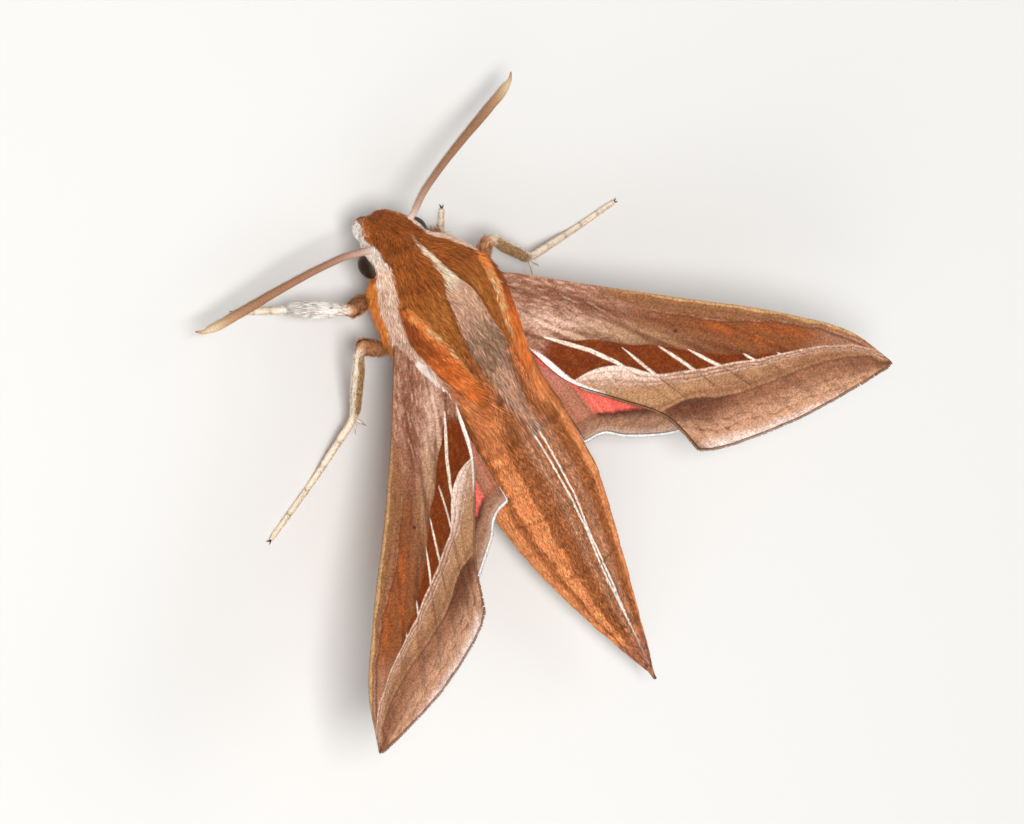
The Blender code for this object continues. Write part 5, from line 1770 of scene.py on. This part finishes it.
@dataclass(frozen=True)
class Wing:
    """A thin arched wing with raised veins, a fringe, and its own upper and under pattern."""

    side: Side
    kind: WingKind
    veins: tuple
    surface: tuple[float, ...]
    slot: Slot
    columns: int
    rows: int
    thickness: float = 0.13
    vein_rise: float = 0.055
    vein_width: float = 0.13
    fringe_step: float = 0.018
    fore_under: Colour = (0.46, 0.24, 0.15)
    fore_under_root: Colour = (0.30, 0.12, 0.07)
    fore_under_edge: Colour = (0.24, 0.11, 0.07)
    fore_fringe: Colour = (0.26, 0.125, 0.065)
    hind_under: Colour = (0.52, 0.30, 0.20)
    hind_under_line: Colour = (0.34, 0.16, 0.10)
    hind_fringe: Colour = (0.86, 0.83, 0.80)
    under_mottle: Colour = (0.24, 0.12, 0.08)

    @property
    def label(self) -> str:
        """Name of the wing as the frame's nodes write it."""
        return f"{self.kind.value}_{self.side.label}"

    def plan(self, columns: int, rows: int) -> Array:
        """Plan places over the wing, as columns across the veins by rows along them."""
        routes = np.stack([smooth_route(np.column_stack((vein, np.zeros(len(vein)))), rows)[:, :2]
                           for vein in self.veins])
        table = np.column_stack((np.arange(len(self.veins)), routes.reshape(len(self.veins), -1)))
        at = np.linspace(0.0, len(self.veins) - 1.0, columns)
        return smooth_rows(table, at, level=False).reshape(columns, rows, 2)

    def middle(self, x: Array, y: Array) -> Array:
        """Height of the middle surface over a plan place."""
        level, across, along, arch_across, twist, arch_along = self.surface
        return level + across * x + along * y + arch_across * x * x + twist * x * y + arch_along * y * y

    def build(self, finish: bpy.types.Material, fringe: bpy.types.Material) -> None:
        """Make the wing and its fringe.

        Args:
            finish: material of the scales.
            fringe: material of the fringe.
        """
        plan = self.plan(self.columns, self.rows)
        x, y = plan[..., 0], plan[..., 1]
        order = np.linspace(0.0, len(self.veins) - 1.0, self.columns)
        step = np.linalg.norm(np.diff(plan, axis=0), axis=-1)
        reach = np.concatenate((np.zeros((1, self.rows)), np.cumsum(step, axis=0)))
        lines = np.round(order).astype(int)
        at_vein = np.stack([reach[int(round(number * (self.columns - 1) / (len(self.veins) - 1)))]
                            for number in range(len(self.veins))])
        distance = np.abs(reach - at_vein[lines])
        along = np.linspace(0.0, 1.0, self.rows)[None, :]
        vein = bell(distance, 0.0, self.vein_width) * (1.0 - 0.45 * along)
        inner = np.minimum(reach, reach[-1] - reach)
        body = ramp(inner, 0.0, 0.35) * (1.0 - 0.45 * ramp(along, 0.9, 1.0))
        front = bell(reach, 0.0, 0.22)
        half = self.thickness * (0.25 + 0.25 * body + 0.55 * front * (1.0 - 0.8 * along))
        pleat = 0.03 * np.cos(2 * math.pi * order)[:, None] * ramp(along, 0.3, 0.8)
        level = self.middle(x, y) + pleat
        top = np.stack((x, y, level + half + self.vein_rise * vein), axis=-1)
        bottom = np.stack((x, y, level - half - 0.4 * self.vein_rise * vein), axis=-1)
        across = (order / order[-1])[:, None] + np.zeros_like(x)
        share = along + np.zeros_like(x)
        upper, under = self.tints(x, y, vein, share, across)
        shape = self.sheet(top, bottom, upper, under)
        piece = shape.build(self.label + "_scaled", finish, self.slot)
        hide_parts(self.label)
        self.cilia(plan, level, upper).build(self.label + "_fringe", fringe, self.slot)

    def tints(self, x: Array, y: Array, vein: Array, share: Array, across: Array) -> tuple[Array, Array]:
        """Colours of the upper side and the underside."""
        mottle = waves(x, y, 95, (0.8, 0.8), 12)
        if self.kind is WingKind.FOREWING:
            upper = ForewingMarkings().tint(x, y, vein)
            under = plain(self.fore_under, x.shape)
            under = lay(under, self.fore_under_root, ramp(-share, -0.55, -0.1) * 0.8)
            under = lay(under, self.fore_under_edge, ramp(share, 0.84, 0.95) * 0.6)
        else:
            upper = HindwingMarkings().tint(x, y, share, across)
            under = plain(self.hind_under, x.shape)
            under = lay(under, self.hind_under_line, line_mask(share - 0.62, 0.02, 0.05) * 0.7)
        under = lay(under, self.under_mottle, np.clip(0.2 * mottle, 0.0, 0.4) + 0.3 * vein)
        return upper, under

    def sheet(self, top: Array, bottom: Array, upper: Array, under: Array) -> Shape:
        """Close an upper and a lower grid into one thin body."""
        columns, rows = top.shape[:2]
        count = columns * rows
        index = np.arange(count).reshape(columns, rows)
        quads = np.stack((index[:-1, :-1], index[1:, :-1], index[1:, 1:], index[:-1, 1:]), axis=-1)
        quads = quads.reshape(-1, 4)
        rim = np.concatenate((index[:-1, 0], index[-1, :-1], index[:0:-1, -1], index[0, :0:-1]))
        onward = np.roll(rim, -1)
        wall = np.stack((rim, rim + count, onward + count, onward), axis=-1)
        lower = quads[:, ::-1] + count
        points = np.concatenate((top.reshape(-1, 3), bottom.reshape(-1, 3)))
        points[:, 0] *= self.side.value
        faces = [quads, lower, wall]
        if self.side is Side.LEFT:
            faces = [face[:, ::-1] for face in faces]
        place, share = np.meshgrid(np.linspace(0.0, 1.0, columns), np.linspace(0.0, 1.0, rows), indexing="ij")
        spots = np.stack((0.01 + 0.48 * place, 0.01 + 0.98 * share), axis=-1).reshape(-1, 2)
        spots = np.concatenate((spots, spots + (0.5, 0.0)))
        corners = np.concatenate([face.ravel() for face in faces])
        mapped = spots[corners]
        walls = len(wall) * 4
        low = corners[-walls:] >= count
        mapped[-walls:][low] -= (0.5, 0.0)
        tints = np.concatenate((upper.reshape(-1, 3), under.reshape(-1, 3)))
        return Shape(points, faces, tints, mapped)

    def cilia(self, plan: Array, level: Array, upper: Array) -> Shape:
        """Fine flat scales that stand out along the outer and the hind margin."""
        outer = plan[:, -1]
        hind = plan[-1, ::-1]
        start = self.rows // 3
        edge = np.concatenate((outer, hind[1:-start]))
        height = np.concatenate((level[:, -1], level[-1, ::-1][1:-start]))
        tint = np.concatenate((upper[:, -1], upper[-1, ::-1][1:-start]))
        steps = np.linalg.norm(np.diff(edge, axis=0), axis=1)
        along = np.concatenate(([0.0], np.cumsum(steps)))
        count = int(along[-1] / self.fringe_step)
        draw = np.random.default_rng(97 + self.side.value)
        at = np.sort(draw.uniform(0.0, along[-1], count))
        place = read_columns(at, along, np.column_stack((edge, height)))
        tangent = unit(read_columns(at, along, np.gradient(edge, axis=0)))
        outward = np.stack((tangent[:, 1], -tangent[:, 0], np.zeros(count)), axis=-1)
        if self.kind is WingKind.FOREWING:
            shade = lay(read_columns(at, along, tint), self.fore_fringe, np.full(count, 0.8))
            length = 0.24
        else:
            shade = plain(self.hind_fringe, (count,))
            length = 0.30
        normal = np.tile((-0.15, -0.1, 1.0), (count, 1))
        sign = np.array((self.side.value, 1.0, 1.0))
        lie = (outward + draw.normal(0.0, 0.10, (count, 3))) * sign
        spots = np.stack((0.02 + 0.95 * at / along[-1], draw.uniform(0.02, 0.97, count)), axis=-1)
        roots = Roots(place * sign, unit(normal * sign), lie, spots)
        return tuft_shape(roots, length * draw.uniform(0.8, 1.05, count), 0.09,
                          draw.uniform(-0.08, 0.08, count), 0.0,
                          shade * draw.normal(1.0, 0.1, count)[:, None])


@dataclass(frozen=True)
class Studio:
    """Pale floor, soft lights and the camera at the photograph's viewing angle.

    The camera's right and down directions come from the photograph's axes: one unit
    across the moth and one along it, turned by the angle at which it lies in the frame.
    """

    lens: float = 400.0
    distance: float = 779.2
    across: tuple[float, float, float] = (-0.9255, 0.0, 0.3787)
    along: tuple[float, float, float] = (0.1174, 0.9507, 0.2869)
    turn: tuple[float, float] = (0.8685, 0.4957)
    aim: tuple[float, float] = (0.40, 8.55)
    sensor: float = 36.0
    floor_reach: float = 1.5
    floor_tint: Colour = (0.74, 0.73, 0.71)
    sky_strength: float = 0.28

    # Name, place and size in metres, and power in watts, of each light
    LIGHTS = (
        ("key", (0.12, -0.05, 0.42), 0.14, 1.55),
        ("fill", (0.34, 0.14, 0.30), 0.35, 0.65),
        ("rim", (-0.34, 0.10, 0.26), 0.30, 0.45),
    )

    def build(self) -> None:
        """Make the floor, the lights and the camera."""
        self.floor()
        self.camera()
        self.lights()

    def floor(self) -> None:
        """Make a pale floor under the moth."""
        mesh = bpy.data.meshes.new("floor")
        reach = self.floor_reach
        corners = [(-reach, -reach, 0.0), (reach, -reach, 0.0), (reach, reach, 0.0), (-reach, reach, 0.0)]
        mesh.from_pydata(corners, [], [(0, 1, 2, 3)])
        paper = bpy.data.materials.new("pale_floor")
        paper.use_nodes = True
        shader = paper.node_tree.nodes["Principled BSDF"]
        shader.inputs["Base Color"].default_value = (*self.floor_tint, 1.0)
        shader.inputs["Roughness"].default_value = 0.9
        mesh.materials.append(paper)
        floor = bpy.data.objects.new("floor", mesh)
        bpy.context.scene.collection.objects.link(floor)

    def camera(self) -> None:
        """Make the camera and use it."""
        zero = to_world(np.zeros(3))

        def aimed(vector: tuple[float, float, float]) -> Vector:
            """A body frame direction in the world."""
            return Vector((to_world(np.asarray(vector)) - zero) / MILLIMETRE)

        across, along = aimed(self.across), aimed(self.along)
        right = (across * self.turn[0] + along * self.turn[1]).normalized()
        down = along * self.turn[0] - across * self.turn[1]
        down = (down - right * down.dot(right)).normalized()
        back = right.cross(-down).normalized()
        target = Vector(zero) + (across * self.aim[0] + along * self.aim[1]) * MILLIMETRE
        data = bpy.data.cameras.new("camera")
        data.lens = self.lens
        data.sensor_width = self.sensor
        data.clip_start, data.clip_end = 0.01, 10.0
        camera = bpy.data.objects.new("camera", data)
        turn = Matrix((right, -down, back)).transposed().to_4x4()
        camera.matrix_world = Matrix.Translation(target + back * self.distance * MILLIMETRE) @ turn
        bpy.context.scene.collection.objects.link(camera)
        bpy.context.scene.camera = camera

    def lights(self) -> None:
        """Make a large soft key light beside the camera, a fill, a rim light and an even sky."""
        for name, place, size, power in self.LIGHTS:
            data = bpy.data.lights.new(name, "AREA")
            data.shape = "SQUARE"
            data.size = size
            data.energy = power
            light = bpy.data.objects.new(name, data)
            light.location = place
            aim = Vector((0.0, 0.0, 0.006)) - Vector(place)
            light.rotation_euler = aim.to_track_quat("-Z", "Y").to_euler()
            bpy.context.scene.collection.objects.link(light)
        world = bpy.data.worlds.new("sky")
        world.use_nodes = True
        sky = world.node_tree.nodes["Background"]
        sky.inputs["Color"].default_value = (1.0, 1.0, 1.0, 1.0)
        sky.inputs["Strength"].default_value = self.sky_strength
        bpy.context.scene.world = world
        bpy.context.scene.view_settings.view_transform = "Standard"


def main() -> None:
    """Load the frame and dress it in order."""
    logging.basicConfig(level=logging.INFO, format="%(message)s")
    for old in list(bpy.data.objects):
        bpy.data.objects.remove(old, do_unlink=True)
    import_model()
    form = BodyForm()
    hide = Finish("skin_down", roughness=0.85, specular=0.1, grain=9.0, grain_depth=0.2, relief=0.05).build()
    fur = Finish("fur", roughness=0.48, specular=0.16, grain=3.0, grain_depth=0.12).build()
    gilt = Finish("plate_scales", roughness=0.34, specular=0.5, metallic=0.15, grain=3.0,
                  grain_depth=0.1).build()
    eye_finish = Finish("eye_facets", roughness=0.3, specular=0.16, grain=4.0, grain_depth=0.08,
                        facets=26.0, relief=0.006).build()
    horn = Finish("tongue_skin", roughness=0.35, specular=0.5, grain=5.0, relief=0.01).build()
    feeler = Finish("antenna_scales", roughness=0.55, specular=0.2, grain=9.0, grain_depth=0.16,
                    relief=0.02).build()
    leg_finish = Finish("leg_scales", roughness=0.5, specular=0.25, grain=6.0, grain_depth=0.12,
                        relief=0.02).build()
    # Strong grain on the wing scales: random tone of the scales, and also painted sparkle for the glint of
    # single scales
    scales = Finish("wing_scales", roughness=0.6, specular=0.07, grain=8.5, grain_depth=0.38,
                    relief=0.02).build()
    cilia = Finish("wing_fringe", roughness=0.6, specular=0.15, grain=4.0, grain_depth=0.1).build()
    Body(form, BodyMarkings(form)).build(fur, gilt, hide)
    Tongue().build(horn)
    for side in Side:
        Eye(side).build(eye_finish)
        Palp(side).build(hide, fur)
        Antenna(side).build(feeler)
        Wing(side, WingKind.FOREWING, FOREWING_VEINS, FOREWING_SURFACE, Slot.FOREWING,
             columns=201, rows=210).build(scales, cilia)
        Wing(side, WingKind.HINDWING, HINDWING_VEINS, HINDWING_SURFACE, Slot.HINDWING,
             columns=127, rows=130, thickness=0.10).build(scales, cilia)
    for leg in LEGS:
        leg.build(form, leg_finish)
    Studio().build()


if __name__ == "__main__":
    main()
